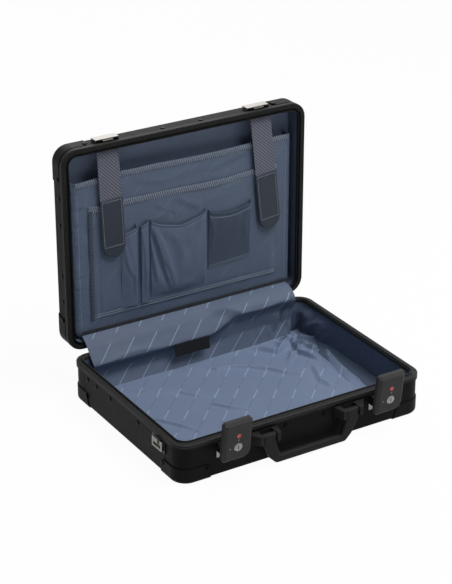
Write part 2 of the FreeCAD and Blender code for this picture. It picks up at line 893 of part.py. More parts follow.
def strap_tab(place, drop, lean):
    """The leather tab on a strap's lower end, with a round tip."""
    top = rim_width + strap_start - case_depth / 2
    start = top + drop - tab_overlap
    radius = tab_width / 2
    z = (-strap_stand, tab_thickness - strap_stand)
    piece = block((place - radius, place + radius), (start, start + tab_length - radius), z)
    tip = Vector(place, start + tab_length - radius, z[0])
    piece = piece.fuse(Part.makeCylinder(radius, tab_thickness, tip, up)).removeSplitter()
    return piece.rotated(Vector(place, top, 0), up, -lean)


def gusset():
    """The lining flap that bridges the hinge: a quarter round over both rims, then a straight drop."""
    centre_y = hinge_y + parting_gap / 2 + pocket_stand - layer
    centre_z = base_height - gusset_drop
    inner = gusset_radius - gusset_cloth
    start = Vector(-gusset_half_top, centre_y, centre_z)
    bend = Part.makeCylinder(gusset_radius, 2 * gusset_half_top, start, along_x)
    bend = bend.cut(Part.makeCylinder(inner, 2 * gusset_half_top, start, along_x))
    x = (-gusset_half_top, gusset_half_top)
    quarter = block(x, (centre_y - gusset_radius, centre_y), (centre_z, centre_z + gusset_radius))
    flap_y = centre_y - gusset_radius
    points = [
        Vector(-gusset_half_top, flap_y, centre_z),
        Vector(gusset_half_top, flap_y, centre_z),
        Vector(gusset_half_foot, flap_y, gusset_hem),
        Vector(-gusset_half_foot, flap_y, gusset_hem),
    ]
    flap = prism(points, along_y * gusset_cloth)
    return bend.common(quarter).fuse(flap).removeSplitter()


def label():
    """The plain label on the gusset's front."""
    face = hinge_y + parting_gap / 2 + pocket_stand - layer - gusset_radius
    x = (-label_half - label_shift, label_half - label_shift)
    return block(x, (face - label_thickness, face), (label_low, label_low + label_height))


def half_pieces(depth, rivets):
    """The drilled walls, panel and corner caps of one half."""
    pieces = {}
    for name, piece in wall_pieces(depth).items():
        pieces[name] = drill(piece, rivets)
    pieces["panel"] = flat_panel(depth)
    caps = [drill(cap, rivets) for cap in corner_caps(depth)]
    pieces["corner_caps"] = Part.makeCompound(caps)
    pieces["wall_lining"] = wall_lining(depth)
    return pieces


def moved_rivets(rivets, x, z):
    """Rivets carried along X and Z."""
    return [(seat + along_x * x + up * z, *others) for seat, *others in rivets]


def base_pieces():
    """Every piece that stays with the base."""
    rivets = cap_rivets(base_depth) + side_rim_rivets(base_side_shares) + front_rim_rivets() + leaf_rivets()
    for sign in (-1, 1):
        rivets += moved_rivets(latch_bracket_rivets(), sign * latch_place, -base_top)
        rivets += moved_rivets(handle_bracket_rivets(), sign * bracket_place, -base_top)
    pieces = half_pieces(base_depth, rivets)
    pieces["rim"] = drill(base_rim(), rivets)
    pieces["floor_lining"] = panel_lining(base_depth, floor_pad)
    pieces["rivets"] = Part.makeCompound([rivet(*each) for each in rivets])
    parts = {"base_" + name: set_base(piece) for name, piece in pieces.items()}
    parts["hinge_base_leaf"] = set_base(drill(hinge_leaf(True), leaf_rivets()))
    parts["hinge_pin"] = hinge_pin()
    parts["hinge_gusset"] = gusset()
    parts["lining_label"] = label()
    return parts


def lid_pieces():
    """Every piece that swings with the lid."""
    rivets = cap_rivets(lid_depth) + side_rim_rivets(lid_side_shares) + front_rim_rivets() + leaf_rivets()
    pieces = half_pieces(lid_depth, rivets)
    pieces["rim"] = drill(lid_rim(), rivets)
    pieces["seal"] = lid_seal()
    pieces["lining"] = panel_lining(lid_depth, lid_pad)
    pieces["rivets"] = Part.makeCompound([rivet(*each) for each in rivets])
    parts = {"lid_" + name: set_lid(piece) for name, piece in pieces.items()}
    parts["hinge_lid_leaf"] = set_lid(drill(hinge_leaf(False), leaf_rivets()))
    for name, sign in sides.items():
        parts[name + "_catch"] = set_lid(lid_catch().translated(along_x * (sign * latch_place)))
    parts["document_pocket"] = set_lid(document_pocket())
    parts["file_pocket"] = set_lid(file_pocket())
    parts["pen_pockets"] = set_lid(Part.makeCompound([small_pocket(each) for each in pen_pocket_shares]))
    parts["notebook_pocket"] = set_lid(small_pocket(notebook_pocket_shares))
    parts["card_pocket"] = set_lid(small_pocket(card_pocket_shares))
    straps = {
        "left": (-strap_place, left_strap_drop, left_strap_lean),
        "right": (strap_place, right_strap_drop, right_strap_lean),
    }
    for name, values in straps.items():
        parts[name + "_strap"] = set_lid(strap(*values))
        parts[name + "_strap_tab"] = set_lid(strap_tab(*values))
    return parts


def latch_pieces():
    """Both latches, swung out as they stand when the lid is open."""
    parts = {}
    for name, sign in sides.items():
        shift = along_x * (sign * latch_place)
        bracket = drill(latch_bracket(), latch_bracket_rivets())
        parts[name + "_latch_bracket"] = bracket.translated(shift)
        parts[name + "_latch_pivots"] = Part.makeCompound(latch_pivots()).translated(shift)
        parts[name + "_latch_bail"] = swing_bail(latch_bail()).translated(shift)
        parts[name + "_lock_plate"] = swing_plate(lock_plate()).translated(shift)
        parts[name + "_lock_cylinder"] = swing_plate(lock_cylinder()).translated(shift)
        parts[name + "_lock_plug"] = swing_plate(lock_plug()).translated(shift)
        parts[name + "_lock_lamp"] = swing_plate(lamp(lamp_radius)).translated(shift)
    return parts


def handle_pieces():
    """The handle, its pins and its two brackets."""
    parts = {"handle": handle()}
    pins = []
    for name, sign in sides.items():
        shift = along_x * (sign * bracket_place)
        bracket = drill(handle_bracket(), handle_bracket_rivets())
        bracket = bracket if sign > 0 else mirror_left(bracket)
        parts[name + "_handle_bracket"] = bracket.translated(shift)
        pins.append(handle_pin(handle_pin_radius).translated(shift))
    parts["handle_pins"] = Part.makeCompound(pins)
    return parts


def loop_pieces():
    """The strap loops and their plates on both side walls."""
    return {
        "right_loop_plate": loop_mount(),
        "right_strap_loop": strap_loop(),
        "left_loop_plate": mirror_left(loop_mount()),
        "left_strap_loop": mirror_left(strap_loop()),
    }


def joint_points(shift):
    """The joint axes' places and ways in the finished frame."""
    normal = Vector(0, -cos(radians(plate_tilt)), -sin(radians(plate_tilt)))
    lock = Vector(0, front(plate_face), lock_height)
    lock_rest = plate_rest() + FreeCAD.Rotation(along_x, plate_tilt).multVec(lock - plate_pivot)
    strap_top = hinge_y - rim_width - strap_start + case_depth / 2 + base_height
    strap_y = hinge_y + parting_gap / 2 + strap_stand + strap_thickness / 2
    points = {
        "lid": hinge_point,
        "bail": bail_pivot,
        "plate": plate_rest(),
        "lock": lock_rest,
        "handle": Vector(0, front(handle_pivot_reach), handle_pivot_height),
        "loop": Vector(case_width / 2 + loop_stand, -loop_place, loop_axis_height),
        "strap": Vector(0, strap_y, strap_top),
    }
    for name, point in points.items():
        print(name, point + shift)
    print("lock axis", normal)


def main():
    """Builds every piece, puts the origin under the middle of the open case and writes the files."""
    os.makedirs("parts", exist_ok=True)
    parts = {**base_pieces(), **lid_pieces(), **latch_pieces(), **handle_pieces(), **loop_pieces()}
    box = Part.makeCompound(list(parts.values())).optimalBoundingBox(False)
    shift = Vector(0, -box.Center.y, 0)
    for name, shape in parts.items():
        shape.translated(shift).exportStep("parts/" + name + ".step")
    joint_points(shift)


main()
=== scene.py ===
import json
import math

import bpy
import numpy as np
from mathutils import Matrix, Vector


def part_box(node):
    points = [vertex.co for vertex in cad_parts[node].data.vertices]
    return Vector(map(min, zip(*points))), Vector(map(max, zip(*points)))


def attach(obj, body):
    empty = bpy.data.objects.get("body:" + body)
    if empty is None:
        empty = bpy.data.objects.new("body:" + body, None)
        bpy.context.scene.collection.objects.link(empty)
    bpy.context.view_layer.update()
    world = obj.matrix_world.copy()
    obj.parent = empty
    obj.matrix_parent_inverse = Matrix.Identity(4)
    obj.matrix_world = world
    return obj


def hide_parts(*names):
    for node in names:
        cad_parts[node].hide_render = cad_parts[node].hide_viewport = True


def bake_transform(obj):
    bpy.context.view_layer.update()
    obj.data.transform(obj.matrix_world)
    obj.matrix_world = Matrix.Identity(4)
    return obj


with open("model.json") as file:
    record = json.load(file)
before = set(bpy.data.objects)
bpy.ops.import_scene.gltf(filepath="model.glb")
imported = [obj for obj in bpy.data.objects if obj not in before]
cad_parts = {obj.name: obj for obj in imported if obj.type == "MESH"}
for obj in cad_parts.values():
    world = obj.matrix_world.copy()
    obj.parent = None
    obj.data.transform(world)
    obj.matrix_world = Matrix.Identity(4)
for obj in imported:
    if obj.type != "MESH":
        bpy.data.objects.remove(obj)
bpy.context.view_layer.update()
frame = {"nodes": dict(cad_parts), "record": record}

# The case stands open on a pale floor. X runs along its width, +Y from the handle to the hinge, +Z up.
# Shapes are worked out in millimetres and stored in metres. A cloth is a grid of points, with shares
# from 0 to 1 across it (s) and along it (t).

MM = 0.001
nodes = frame["nodes"]


def span(node):
    """A CAD node's box in millimetres, as low and high corners."""
    low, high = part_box(node)
    return np.array(low) / MM, np.array(high) / MM


# Values, in millimetres and degrees where a line says nothing else.
# A ripple's row is a height, a cell and a seed. A fold's row is a path, a width, a height and perhaps a lean.
# A ramp's row is a start and a length. Cells are counts of points across and along a cloth. Fades are
# counts too: an end fades over one part in so many.

noise_size = 61
fold_fades = 4
fold_lean = 0.5
ridge_power = 1.4
valley_share = 1.5
tuck_fades = 6
tuck_run = 1.7
tuck_reach = 13.0
crease_angle = 55
tiny = 1e-9

# Thread: each seam's pitch, stitch length and radius, and one stitch's rings as shares of length and radius
document_seam = (3.6, 2.2, 0.42)
file_seam = (4.6, 2.8, 0.46)
pen_seam = (3.4, 2.2, 0.36)
small_seam = (3.6, 2.3, 0.36)
tab_seam = (4.9, 1.9, 0.5)
stitch_sides = 6
stitch_rings = ((-0.5, 0.0), (-0.36, 0.8), (0.0, 1.0), (0.36, 0.8), (0.5, 0.0))
thread_lift = 0.25
facing = np.array([0.0, -1.0, 0.0])

# Textures: scale per metre, detail and perhaps roughness
metal_blotch = (22.0, 5.0)
metal_gloss = (60.0, 6.0)
rim_blotch = (30.0, 5.0)
rim_grain = (2600.0, 3.0)
rim_gloss = (70.0, 6.0)
loop_blotch = (40.0, 5.0)
loop_grain = (900.0, 3.0)
cloth_blotch = (14.0, 4.0)
cloth_fuzz = (900.0, 2.0)
cloth_crumple = (55.0, 5.0, 0.55)
cloth_gloss = (40.0, 4.0)
tape_wear = (160.0, 4.0)
tape_fuzz = (1500.0, 3.0)
webbing_wear = (240.0, 4.0)
leather_wear = (45.0, 5.0)
leather_lumps = (220.0, 4.0)
leather_cells = 900.0
label_gloss = (200.0, 4.0)
thread_twist = (1800.0, 2.0)
grain_detail = 3.0
gloss_spread = 0.08
leather_sharp = 3.0

# Bumps: a depth, or a depth and a strength
grain_depth = 0.02
weave_depth = 0.06
fuzz_depth = 0.08
label_depth = 0.1
thread_depth = 0.15
crumple_bump = (1.2, 0.35)
rib_bump = (0.3, 0.8)
twill_bump = (0.25, 0.6)
lump_bump = (0.3, 0.4)
pebble_bump = (0.12, 0.7)

# Rim flutes, drawn as painted highlight lines, and half the length of the loop plate's bright middle
rim_radius = 26.0
tongue_height = 2.6
first_flute = 23.2
flute_pitch = 2.1
shoulder = 7.5
shoulder_pitch = 3.3
loop_bright = 8.0

# Patterns in the cloth
# Diagonal woven lines: their light dashes are painted thread sheen, and the stretches between them are
# painted shade
dash_pitch = 29.5
dash_width = 1.1
dash_beat = 72.0
weave_pitch = 0.7
fuzz_share = 0.12
# Painted shade: the dark stretches of the diagonal lines between their light dashes
line_shade_colour = (30, 36, 50)
tape_rib = 3.8
side_rib = 2.4
binding_rib = 2.0
tape_rows = 2.6
tape_slant = 0.25
twill_pitch = 5.8
twill_slant = 1.1
twill_thread = 1.1
twill_power = 0.7
label_thread = 0.9

hard_finishes = {
    # record slot: name, dark, light, roughness, grain per metre, grain depth, other settings
    "shell_black": ("shell_satin", 20, 26, 0.5, 2400.0, 0.03, {"Specular_IOR_Level": 0.05}),
    "cap_black": ("cap_satin", 21, 27, 0.46, 2000.0, 0.03, {"Specular_IOR_Level": 0.05}),
    "rivet_black": ("rivet_black", 4, 7, 0.32, 1500.0, 0.02, {"Specular_IOR_Level": 0.05}),
    "chrome": ("chrome_nickel", (116, 113, 108), (152, 149, 144), 0.24, 700.0, 0.01, {"Metallic": 1.0}),
    "pivot_steel": ("turned_steel", (128, 130, 134), (160, 163, 168), 0.32, 3000.0, 0.03, {"Metallic": 1.0}),
    "hinge_steel": ("hinge_black", 16, 22, 0.45, 1800.0, 0.03, {"Specular_IOR_Level": 0.12}),
    "lock_black": ("lock_satin", 62, 70, 0.42, 3200.0, 0.03, {"Specular_IOR_Level": 0.04}),
    "lamp_red": ("lamp_red", (186, 30, 38), (214, 46, 52), 0.24, 500.0, 0.02, {"Coat_Weight": 0.3}),
    # The handle is painted lighter than the shell: painted light standing in for soft light on its top
    "handle_black": ("handle_moulded", 34, 41, 0.48, 1700.0, 0.05, {"Specular_IOR_Level": 0.07}),
    "seal_rubber": ("seal_rubber", 13, 18, 0.7, 900.0, 0.04, {"Specular_IOR_Level": 0.1}),
}
dot_finish = ("dot_grey", (120, 120, 122), (140, 140, 142), 0.6, 900.0, 0.01, {"Specular_IOR_Level": 0.2})
lining_cloths = {
    # dark, light and dash colours, and what differs from the floor's pattern
    "floor": ((103, 117, 142), (113, 128, 153), (158, 173, 198), {}),
    "gusset": ((81, 92, 112), (90, 102, 122), (150, 165, 189),
               {"pattern": 0.9, "gaps": 0.0, "shift": -0.41, "start": -0.07, "dash_share": 0.7}),
    # The upright linings are a darker copy of the lining cloth: painted shade, for walls that face away from
    # the light
    "wall": ((72, 83, 103), (84, 96, 118), (112, 126, 150), {"pattern": 0.4}),
    # The lid's lining is a lighter copy of the lining cloth: painted light that offsets the shadow of the
    # lid's rim above it
    "lid": ((107, 120, 144), (120, 134, 159), (152, 167, 191), {"pattern": 0.3}),
    "pocket": ((82, 94, 114), (93, 106, 127), (130, 145, 168), {"pattern": 0.3}),
    "small_pocket": ((84, 96, 117), (95, 108, 130), (124, 139, 162), {"pattern": 0.15}),
    # The card pocket is a darker copy of the small pockets' cloth: painted shade
    "card_pocket": ((62, 72, 89), (70, 80, 98), (98, 111, 132), {"pattern": 0.15}),
}

# Floor lining
lining_corner = 14.2
floor_cells = (300, 226)
floor_thick = 1.6
floor_drop = 0.3
floor_least = 1.9
floor_ripples = ((0.5, 46, 1), (0.25, 19, 2))
floor_edge = 12
floor_edge_rise = 1.8
floor_edge_ripples = ((1.2, 23, 3),)
floor_folds = (
    (((-8, 132), (8, 104), (45, 94), (76, 71), (94, 40), (128, 11)), 4.9, 2.08),
    (((-150, 113), (-78, 68), (-60, 42), (-38, 22)), 3.15, 2.6),
    (((-60, 16), (-30, -25), (-8, -44)), 2.8, 2.08),
    (((-162, 28), (-135, -18), (-114, -48)), 2.8, 1.95),
    (((206, 92), (188, 22), (181, -21), (180, -66)), 5.6, 3.9),
    (((192, 140), (165, 114), (156, 78), (176, 36)), 3.5, 7.8),
    (((156, 40), (134, -13), (138, -52)), 4.9, 2.6),
    (((96, 140), (128, 99), (167, 128), (198, 140)), 6.3, 7.8),
    (((176, 128), (200, 98), (206, 92)), 3.15, 7.8),
    (((150, 140), (176, 104), (192, 60)), 2.8, 6.5),
    (((120, 60), (150, 84), (190, 106)), 4.2, 5.2),
    (((186, -110), (150, -96), (96, -104)), 4.9, 2.08),
    (((-180, -60), (-120, -84), (-60, -130)), 4.2, 1.69),
)
floor_tucks = (
    # path of a sharp step in the cloth, its height
    (((-4, 125), (11, 97), (33, 95), (59, 79), (82, 57), (100, 28), (123, 9), (136, -4)), 3.0),
    (((196, 78), (191, 60), (182, 26), (174, -10), (170, -41), (173, -62)), 2.6),
    (((145, 86), (154, 70), (163, 54), (171, 41)), 2.0),
    (((148, 16), (137, -3), (135, -24), (135, -42)), 0.8),
    (((-156, 117), (-123, 90), (-103, 74), (-80, 66)), 1.6),
    (((-66, 62), (-55, 40), (-41, 26), (-30, 20)), 1.6),
    (((-57, 11), (-40, -15), (-14, -39)), 1.4),
    (((-160, 15), (-139, -13), (-123, -42), (-111, -69)), 1.3),
)
bunch_place = (178, 118)
bunch_reach = 34
bunch_rise = 3.0
bunch_ripples = ((3.4, 17, 5), (1.6, 8, 6))
crest_ripple = (4.5, 19, 7)
crest_stretch = 0.6
crest_power = 4

# Upright linings of base and lid
wall_inset = 1.5
wall_corner = 14.5
wall_thick = 1.2
base_wall_cells = (420, 22)
base_wall_bulge = 0.5
base_wall_ripples = ((0.5, 30, 11),)
wall_foot_share = 0.3
wall_foot_fades = 6
wall_top_fades = 3
gather_place = (206, 116)
gather_reach = (20, 44)
gather_rise = 2.0
pleat_ripple = (10.0, 15, 12)
pleat_lean = 0.5
pleat_stretch = 0.2
pleat_power = 3
skirt_reach = 27
skirt_side = (190, 8)
skirt_front = (-128, 50)
skirt_back = (104, -40)
skirt_height_share = 0.2
skirt_ripples = ((0.12, 26, 13),)
lid_wall_cells = (380, 9)
lid_wall_end = 0.3
lid_wall_bulge = 0.4
lid_wall_ripples = ((0.4, 14, 41),)

# Hinge gusset: Y and Z from the floor up to the lid at its left and right
gusset_cells = (170, 70)
gusset_thick = 1.0
gusset_left = ((138.6, 6.6), (141.4, 12), (148.6, 25), (148.0, 42), (137.6, 50.5), (141, 56), (155.5, 74.5),
               (166, 84.4), (175.2, 89))
gusset_right = ((140, 6.6), (142.0, 14), (148.0, 34), (148.4, 54), (142.4, 70), (145.4, 77), (154, 84.6),
                (165, 88.8), (175.2, 90))
gusset_passes = 2
gusset_swell = (20, 60)
gusset_taper = 10.0
taper_fades = 1.6
gusset_ripples = ((0.9, 48, 21), (0.4, 20, 22))
gusset_folds = (
    (((30, 96), (60, 84), (84, 66), (96, 44)), 9.0, 2.6),
    (((70, 66), (120, 62), (188, 70)), 5.0, 2.0),
    (((150, 14), (160, 44), (184, 78)), 5.0, 5.0),
    (((-186, 48), (-120, 58), (-60, 54)), 6.0, 1.6),
)
curtain_side = (96, 50)
curtain_top = (70, -30)
curtain_ripples = (
    # stretch along the cloth, ripple's row
    (0.2, (2.4, 10, 23)),
    (0.3, (1.2, 5, 24)),
)
gusset_foot_fades = 6
gusset_top_fades = 5
gusset_way = (-0.8, 0.6)

# Label on the gusset
label_cells = (24, 12)
label_thick = 0.7
label_stand = 1.4
label_lean = 2.6
label_wave = 0.3
label_turns = 5

# Lid lining
lid_cells = (130, 96)
lid_thick = 1.2
lid_drop = 0.4
lid_ripples = ((0.3, 50, 31), (0.15, 18, 32))
lid_folds = (
    (((-60, 384), (-20, 372), (40, 374)), 5, 0.5),
    (((20, 360), (70, 368), (110, 380)), 5, 0.5),
)

# Tapes: width and stand of each
document_tape = (9.4, 1.3)
file_tape = (10.4, 1.0)
side_binding = (6.5, 0.9)
foot_binding = (6.4, 0.9)
tape_thick = 0.6
tape_step = 0.65
tape_points = 7
tape_rise = 0.3
tape_edge_share = 0.35
tape_power = 4

# Document pocket: hem points are X and Z
hem_points = 200
hem_window = 17
document_cells = (232, 110)
document_thick = 1.0
document_inset = 0.6
document_hem = ((-190, 345.0), (-154, 346.6), (-112, 349.4), (-51, 349.6), (6, 347.6), (64, 346.6),
                (120, 348.4), (165, 350), (190, 349.6))
document_straight = 200
document_corner = 14
document_gap = 0.4
document_back_gap = 0.2
document_foot_fades = 8
document_side = 14
document_turn = 2.2
document_turn_reach = 5
document_pleat = 2.5
pucker_reach = 16
pucker_wave = 0.35
pucker_turn = 0.46
pucker_bend = (5, 40, 51)
pucker_ripples = ((0.8, 11, 52),)
document_ripples = ((0.9, 62, 53), (0.45, 27, 54))
document_folds = (
    (((-180, 330), (-150, 250), (-176, 170)), 10, 1.2),
    (((186, 320), (164, 240), (180, 140)), 10, 1.2),
    (((-100, 336), (-40, 318), (30, 330)), 7, 0.8),
    (((40, 318), (90, 330), (124, 342)), 6, 0.8),
)
document_tape_inset = 4
document_seam_lift = 0.3
document_seam_end = 6
document_seam_left = 2
document_seam_right = 3

# File pocket
panel_thick = 0.9
file_cells = (172, 94)
file_gap = 0.2
file_hem = ((-171, 303.5), (-150, 301.6), (-110, 303.2), (-65, 302.8), (-13, 302.2), (33, 300), (80, 299.6),
            (125, 304), (171, 304))
file_rise = 1.5
file_least = 0.5
file_most = 2.6
file_ripples = ((0.7, 58, 61), (0.3, 24, 62))
file_folds = (
    (((-60, 292), (-30, 268), (-70, 250)), 7, 0.9),
    (((110, 292), (60, 274), (30, 262)), 8, 1.0),
    (((-20, 290), (10, 270), (34, 258)), 6, 0.8),
)
groove_place = -155.5
groove_half = 2.4
groove_depth = 1.3
groove_fades = 20
file_edge = 10
file_edge_share = 0.45
file_foot_share = 0.5
file_foot_fades = 12
file_seam_shares = (0.011, 0.0325)
file_seam_inset = 3
file_seam_lift = 0.5
file_binding_end = 4

# Binding below the pockets
binding_ends = (-191, 193)
binding_points = 60
binding_height = 95.6
binding_stand = 1.6
binding_ripples = ((0.5, 60, 101),)

# Small pockets: a roll and a groove along each mouth, as a height with shares of place and width
hem_roll = (0.7, 0.985, 0.02)
hem_groove = (-0.4, 0.94, 0.014)
small_plane = 0.6
small_gap = 0.4
small_least = 0.1
small_foot = 120.0
small_seam_share = 0.945
swell_power = 0.8
small_side_fades = 60
small_foot_share = 0.4

pen_cells = (30, 84)
pen_most = 6.6
pen_seam_inset = 1.0
pen_foot_share = 0.35
pen_foot_fades = 1.7
pen_left_share = 0.08
pen_crown_share = 0.55
pen_right_share = 0.06
pen_ripple = (0.3, 12)
pens = (
    # name, X ends, hem points, how far it stands out, the share of that in its steep left side, seed, folds
    ("pen_pocket_wide", (-117, -88.6), ((-117, 247), (-104, 249.5), (-93, 254), (-88.6, 258.6)),
     6.4, 0.45, 71,
     ((((-114, 242), (-108, 200), (-92.6, 160)), 3.4, 1.4),
      (((-105, 236), (-94.6, 190), (-93.6, 130)), 2.6, 0.9))),
    ("pen_pocket_slim", (-83.0, -69.0), ((-83.0, 252), (-77, 256), (-69.0, 260)),
     6.2, 0.9, 72,
     ((((-80, 242), (-74, 200), (-73, 160)), 3.4, 1.4),
      (((-71, 236), (-75, 190), (-74, 130)), 2.6, 0.9))),
)

notebook_cells = (92, 116)
notebook_ends = (-65.6, 37.4)
notebook_hem = ((-65.6, 261), (-60, 255), (-50, 250), (-31, 244.5), (-12, 240), (7, 243), (24, 247.5),
                (33, 252), (37.4, 258))
notebook_stand_most = 5.6
notebook_most = 6.4
notebook_seam_inset = 2.0
notebook_side_share = 0.6
notebook_foot_fades = 12
belly_share = 0.2
belly_ripples = ((0.08, 24, 83),)
belly_stand_share = 0.88
notebook_ripples = ((0.5, 22, 81), (0.25, 9, 82))
notebook_folds = (
    (((-63, 252), (-52, 214), (-38, 165), (-27, 128)), 4.2, 3.0, 0.9),
    (((-58, 250), (-44, 206), (-28, 160), (-20, 132)), 4.6, 2.6, 0.8),
    (((-64, 238), (-60, 190), (-52, 140)), 3.6, 1.8, 0.8),
    (((34, 250), (22, 214), (2, 172), (-16, 134)), 6.0, 1.8, 0.6),
    (((-30, 240), (-6, 190), (-14, 140)), 9.0, 1.4, 0.5),
)

card_cells = (70, 84)
card_ends = (40.6, 120.5)
card_hem = ((40.6, 253), (46, 247.5), (58, 245), (76, 242.5), (92, 243), (106, 246.2), (117, 249),
            (120.5, 254))
card_foot = 148.0
card_slope = 0.06
card_rise = 0.8
card_side = 3.4
card_swell = 1.2
card_most = 5.4
card_mouth_fades = 1.1
card_mouth_power = 1.5
card_foot_fades = 9
card_ripples = ((0.3, 26, 91),)
card_folds = (
    (((44, 246), (50, 214), (46, 176)), 4.0, 0.9),
    (((116, 246), (108, 218), (112, 186)), 5.0, 0.7),
)
card_seams = ((0.92, 2.0), (0.02, 1.0), (0.055, 1.0))

# Straps and tabs
straps = (
    # side, X of its middle, length, lean
    ("left", -136.944, 99.0, 2.3),
    ("right", 136.944, 116.0, 6.0),
)
strap_cells = (40, 128)
strap_width = 37.0
strap_thick = 1.2
strap_stand = 0.35
strap_bow = 1.0
strap_square = 12
strap_rib = 0.16
selvedge = 2.2
tab_length = 98.0
tab_overlap = 18.0
tab_radius = 20.0
tab_corner = 2.0
tab_cells = (34, 64)
tab_straight_share = 0.72
tab_end_share = 0.985
tab_thick = 1.2
tab_crown = 1.1
tab_edge = 0.7
tab_groove = 0.22
tab_seam_inset = 3.4
tab_seam_foot = 1.0

# Marks on the lock plates: each ring's radius and height, and places right of and above the indicator
lock_tilt = 7.5
dot_sides = 16
dot_rings = ((0.9, 0.3), (1.4, 0.0))
dot_height = 0.35
dot_face = 0.65
dot_places = ((0, -7.6), (-13.6, -19.6))

# Floor, light and camera, in metres and watts, with the lens and the sensor in millimetres
floor_half = 4.0
floor_colour = (0.86, 0.86, 0.86, 1)
floor_glow_share = 0.96
white = (1, 1, 1, 1)
ambient_colour = (0.95, 0.97, 1.0, 1)
ambient_strength = 0.08
lamps = (
    # name, place, aim, size, power
    ("key", (0.72, -0.66, 2.42), (0, 0.05, 0.1), 1.6, 64.0),
    ("fill", (-1.8, -1.6, 1.2), (0, 0, 0.15), 1.8, 1.5),
    ("back", (0.6, 2.3, 1.5), (0, 0, 0.2), 1.8, 16.0),
)
camera_eye = (-1.37794, -2.18325, 1.42281)
camera_aim = (0.0099, 0.06974, 0.1586)
camera_lens = 116.09
camera_sensor = 36.0


# Numbers and noise


def smooth(x):
    """An S-shaped rise from 0 to 1."""
    x = np.clip(x, 0, 1)
    return x * x * (3 - 2 * x)


def eased(x, least):
    """An S-shaped rise from a least share to 1."""
    return least + (1 - least) * smooth(x)


def ramp(value, start, length):
    """An S-shaped rise from a start over a length, or a fall where the length is negative."""
    return smooth((value - start) / length)


def faded(share, first, last):
    """A share that rises at its start and falls at its end, each over one part in so many."""
    return smooth(share * first) * smooth((1 - share) * last)


def bell(x):
    """1 at zero, falling off on both sides."""
    return np.exp(-(x ** 2))


def noise(u, v, cell, seed):
    """Smooth random heights from -1 to 1, with bumps about one cell wide."""
    table = np.random.default_rng(seed).uniform(-1, 1, (noise_size, noise_size))
    column = np.floor(u / cell).astype(int)
    row = np.floor(v / cell).astype(int)
    s = smooth(u / cell - column)
    t = smooth(v / cell - row)

    def at(across, along):
        return table[(column + across) % noise_size, (row + along) % noise_size]

    near = at(0, 0) * (1 - s) + at(1, 0) * s
    far = at(0, 1) * (1 - s) + at(1, 1) * s
    return near * (1 - t) + far * t


def ripple(u, v, rows):
    """Random heights added up."""
    return sum(height * noise(u, v, cell, seed) for height, cell, seed in rows)


def lengths_along(path):
    """How far along a line of points each point lies."""
    steps = np.linalg.norm(np.diff(path, axis=0), axis=1)
    return np.concatenate([[0], np.cumsum(steps)])


def points_on(line, places):
    """Points at lengths along a line of points."""
    starts = lengths_along(line)
    return np.stack([np.interp(places, starts, values) for values in line.T], -1)


def beside(u, v, path):
    """How far each place lies off a path, signed by its side, and the share of the path passed there."""
    path = np.array(path, float)
    starts = lengths_along(path)
    least = np.full(np.shape(u), np.inf)
    signed = np.zeros(np.shape(u))
    share = np.zeros(np.shape(u))
    for start, step, begun, end in zip(path[:-1], np.diff(starts), starts, path[1:]):
        way = (end - start) / step
        along = np.clip((u - start[0]) * way[0] + (v - start[1]) * way[1], 0, step)
        off_u = u - start[0] - along * way[0]
        off_v = v - start[1] - along * way[1]
        gap = np.hypot(off_u, off_v)
        closer = gap < least
        least = np.where(closer, gap, least)
        signed = np.where(closer, np.sign(off_u * way[1] - off_v * way[0]) * gap, signed)
        share = np.where(closer, (begun + along) / starts[-1], share)
    return signed, share


def fold(u, v, path, width, height, lean=fold_lean):
    """A soft ridge along a path of points, fading at both ends, with a valley on one side."""
    off, share = beside(u, v, path)
    ridge = np.exp(-((np.abs(off) / width) ** ridge_power))
    valley = bell(off / width - valley_share)
    return height * faded(share, fold_fades, fold_fades) * (ridge - lean * valley)


def folds(u, v, rows):
    """Several folds added up."""
    return sum(fold(u, v, *row) for row in rows)


def tuck(u, v, path, rise):
    """A sharp step up along a path of points, easing off beyond it and fading at both ends."""
    off, share = beside(u, v, path)
    step = smooth(0.5 - off / tuck_run)
    return rise * faded(share, tuck_fades, tuck_fades) * step * np.exp(-np.maximum(-off, 0) / tuck_reach)


def grid(columns, rows):
    """Two arrays of shares from 0 to 1, across and along."""
    return np.meshgrid(np.linspace(0, 1, columns), np.linspace(0, 1, rows))


# Meshes


def new_piece(name, points, faces, material, flat=None):
    """A smooth mesh object from points in millimetres."""
    mesh = bpy.data.meshes.new(name)
    mesh.from_pydata((np.asarray(points) * MM).tolist(), [], [list(map(int, face)) for face in faces])
    mesh.polygons.foreach_set("use_smooth", [True] * len(mesh.polygons))
    mesh.set_sharp_from_angle(angle=math.radians(crease_angle))
    if flat is not None:
        place = np.zeros((len(flat), 3), np.float32)
        place[:, :2] = np.asarray(flat) * MM
        attribute = mesh.attributes.new("flat", "FLOAT_VECTOR", "POINT")
        attribute.data.foreach_set("vector", place.ravel())
    mesh.materials.append(material)
    mesh.update()
    piece = bpy.data.objects.new(name, mesh)
    bpy.context.scene.collection.objects.link(piece)
    return piece


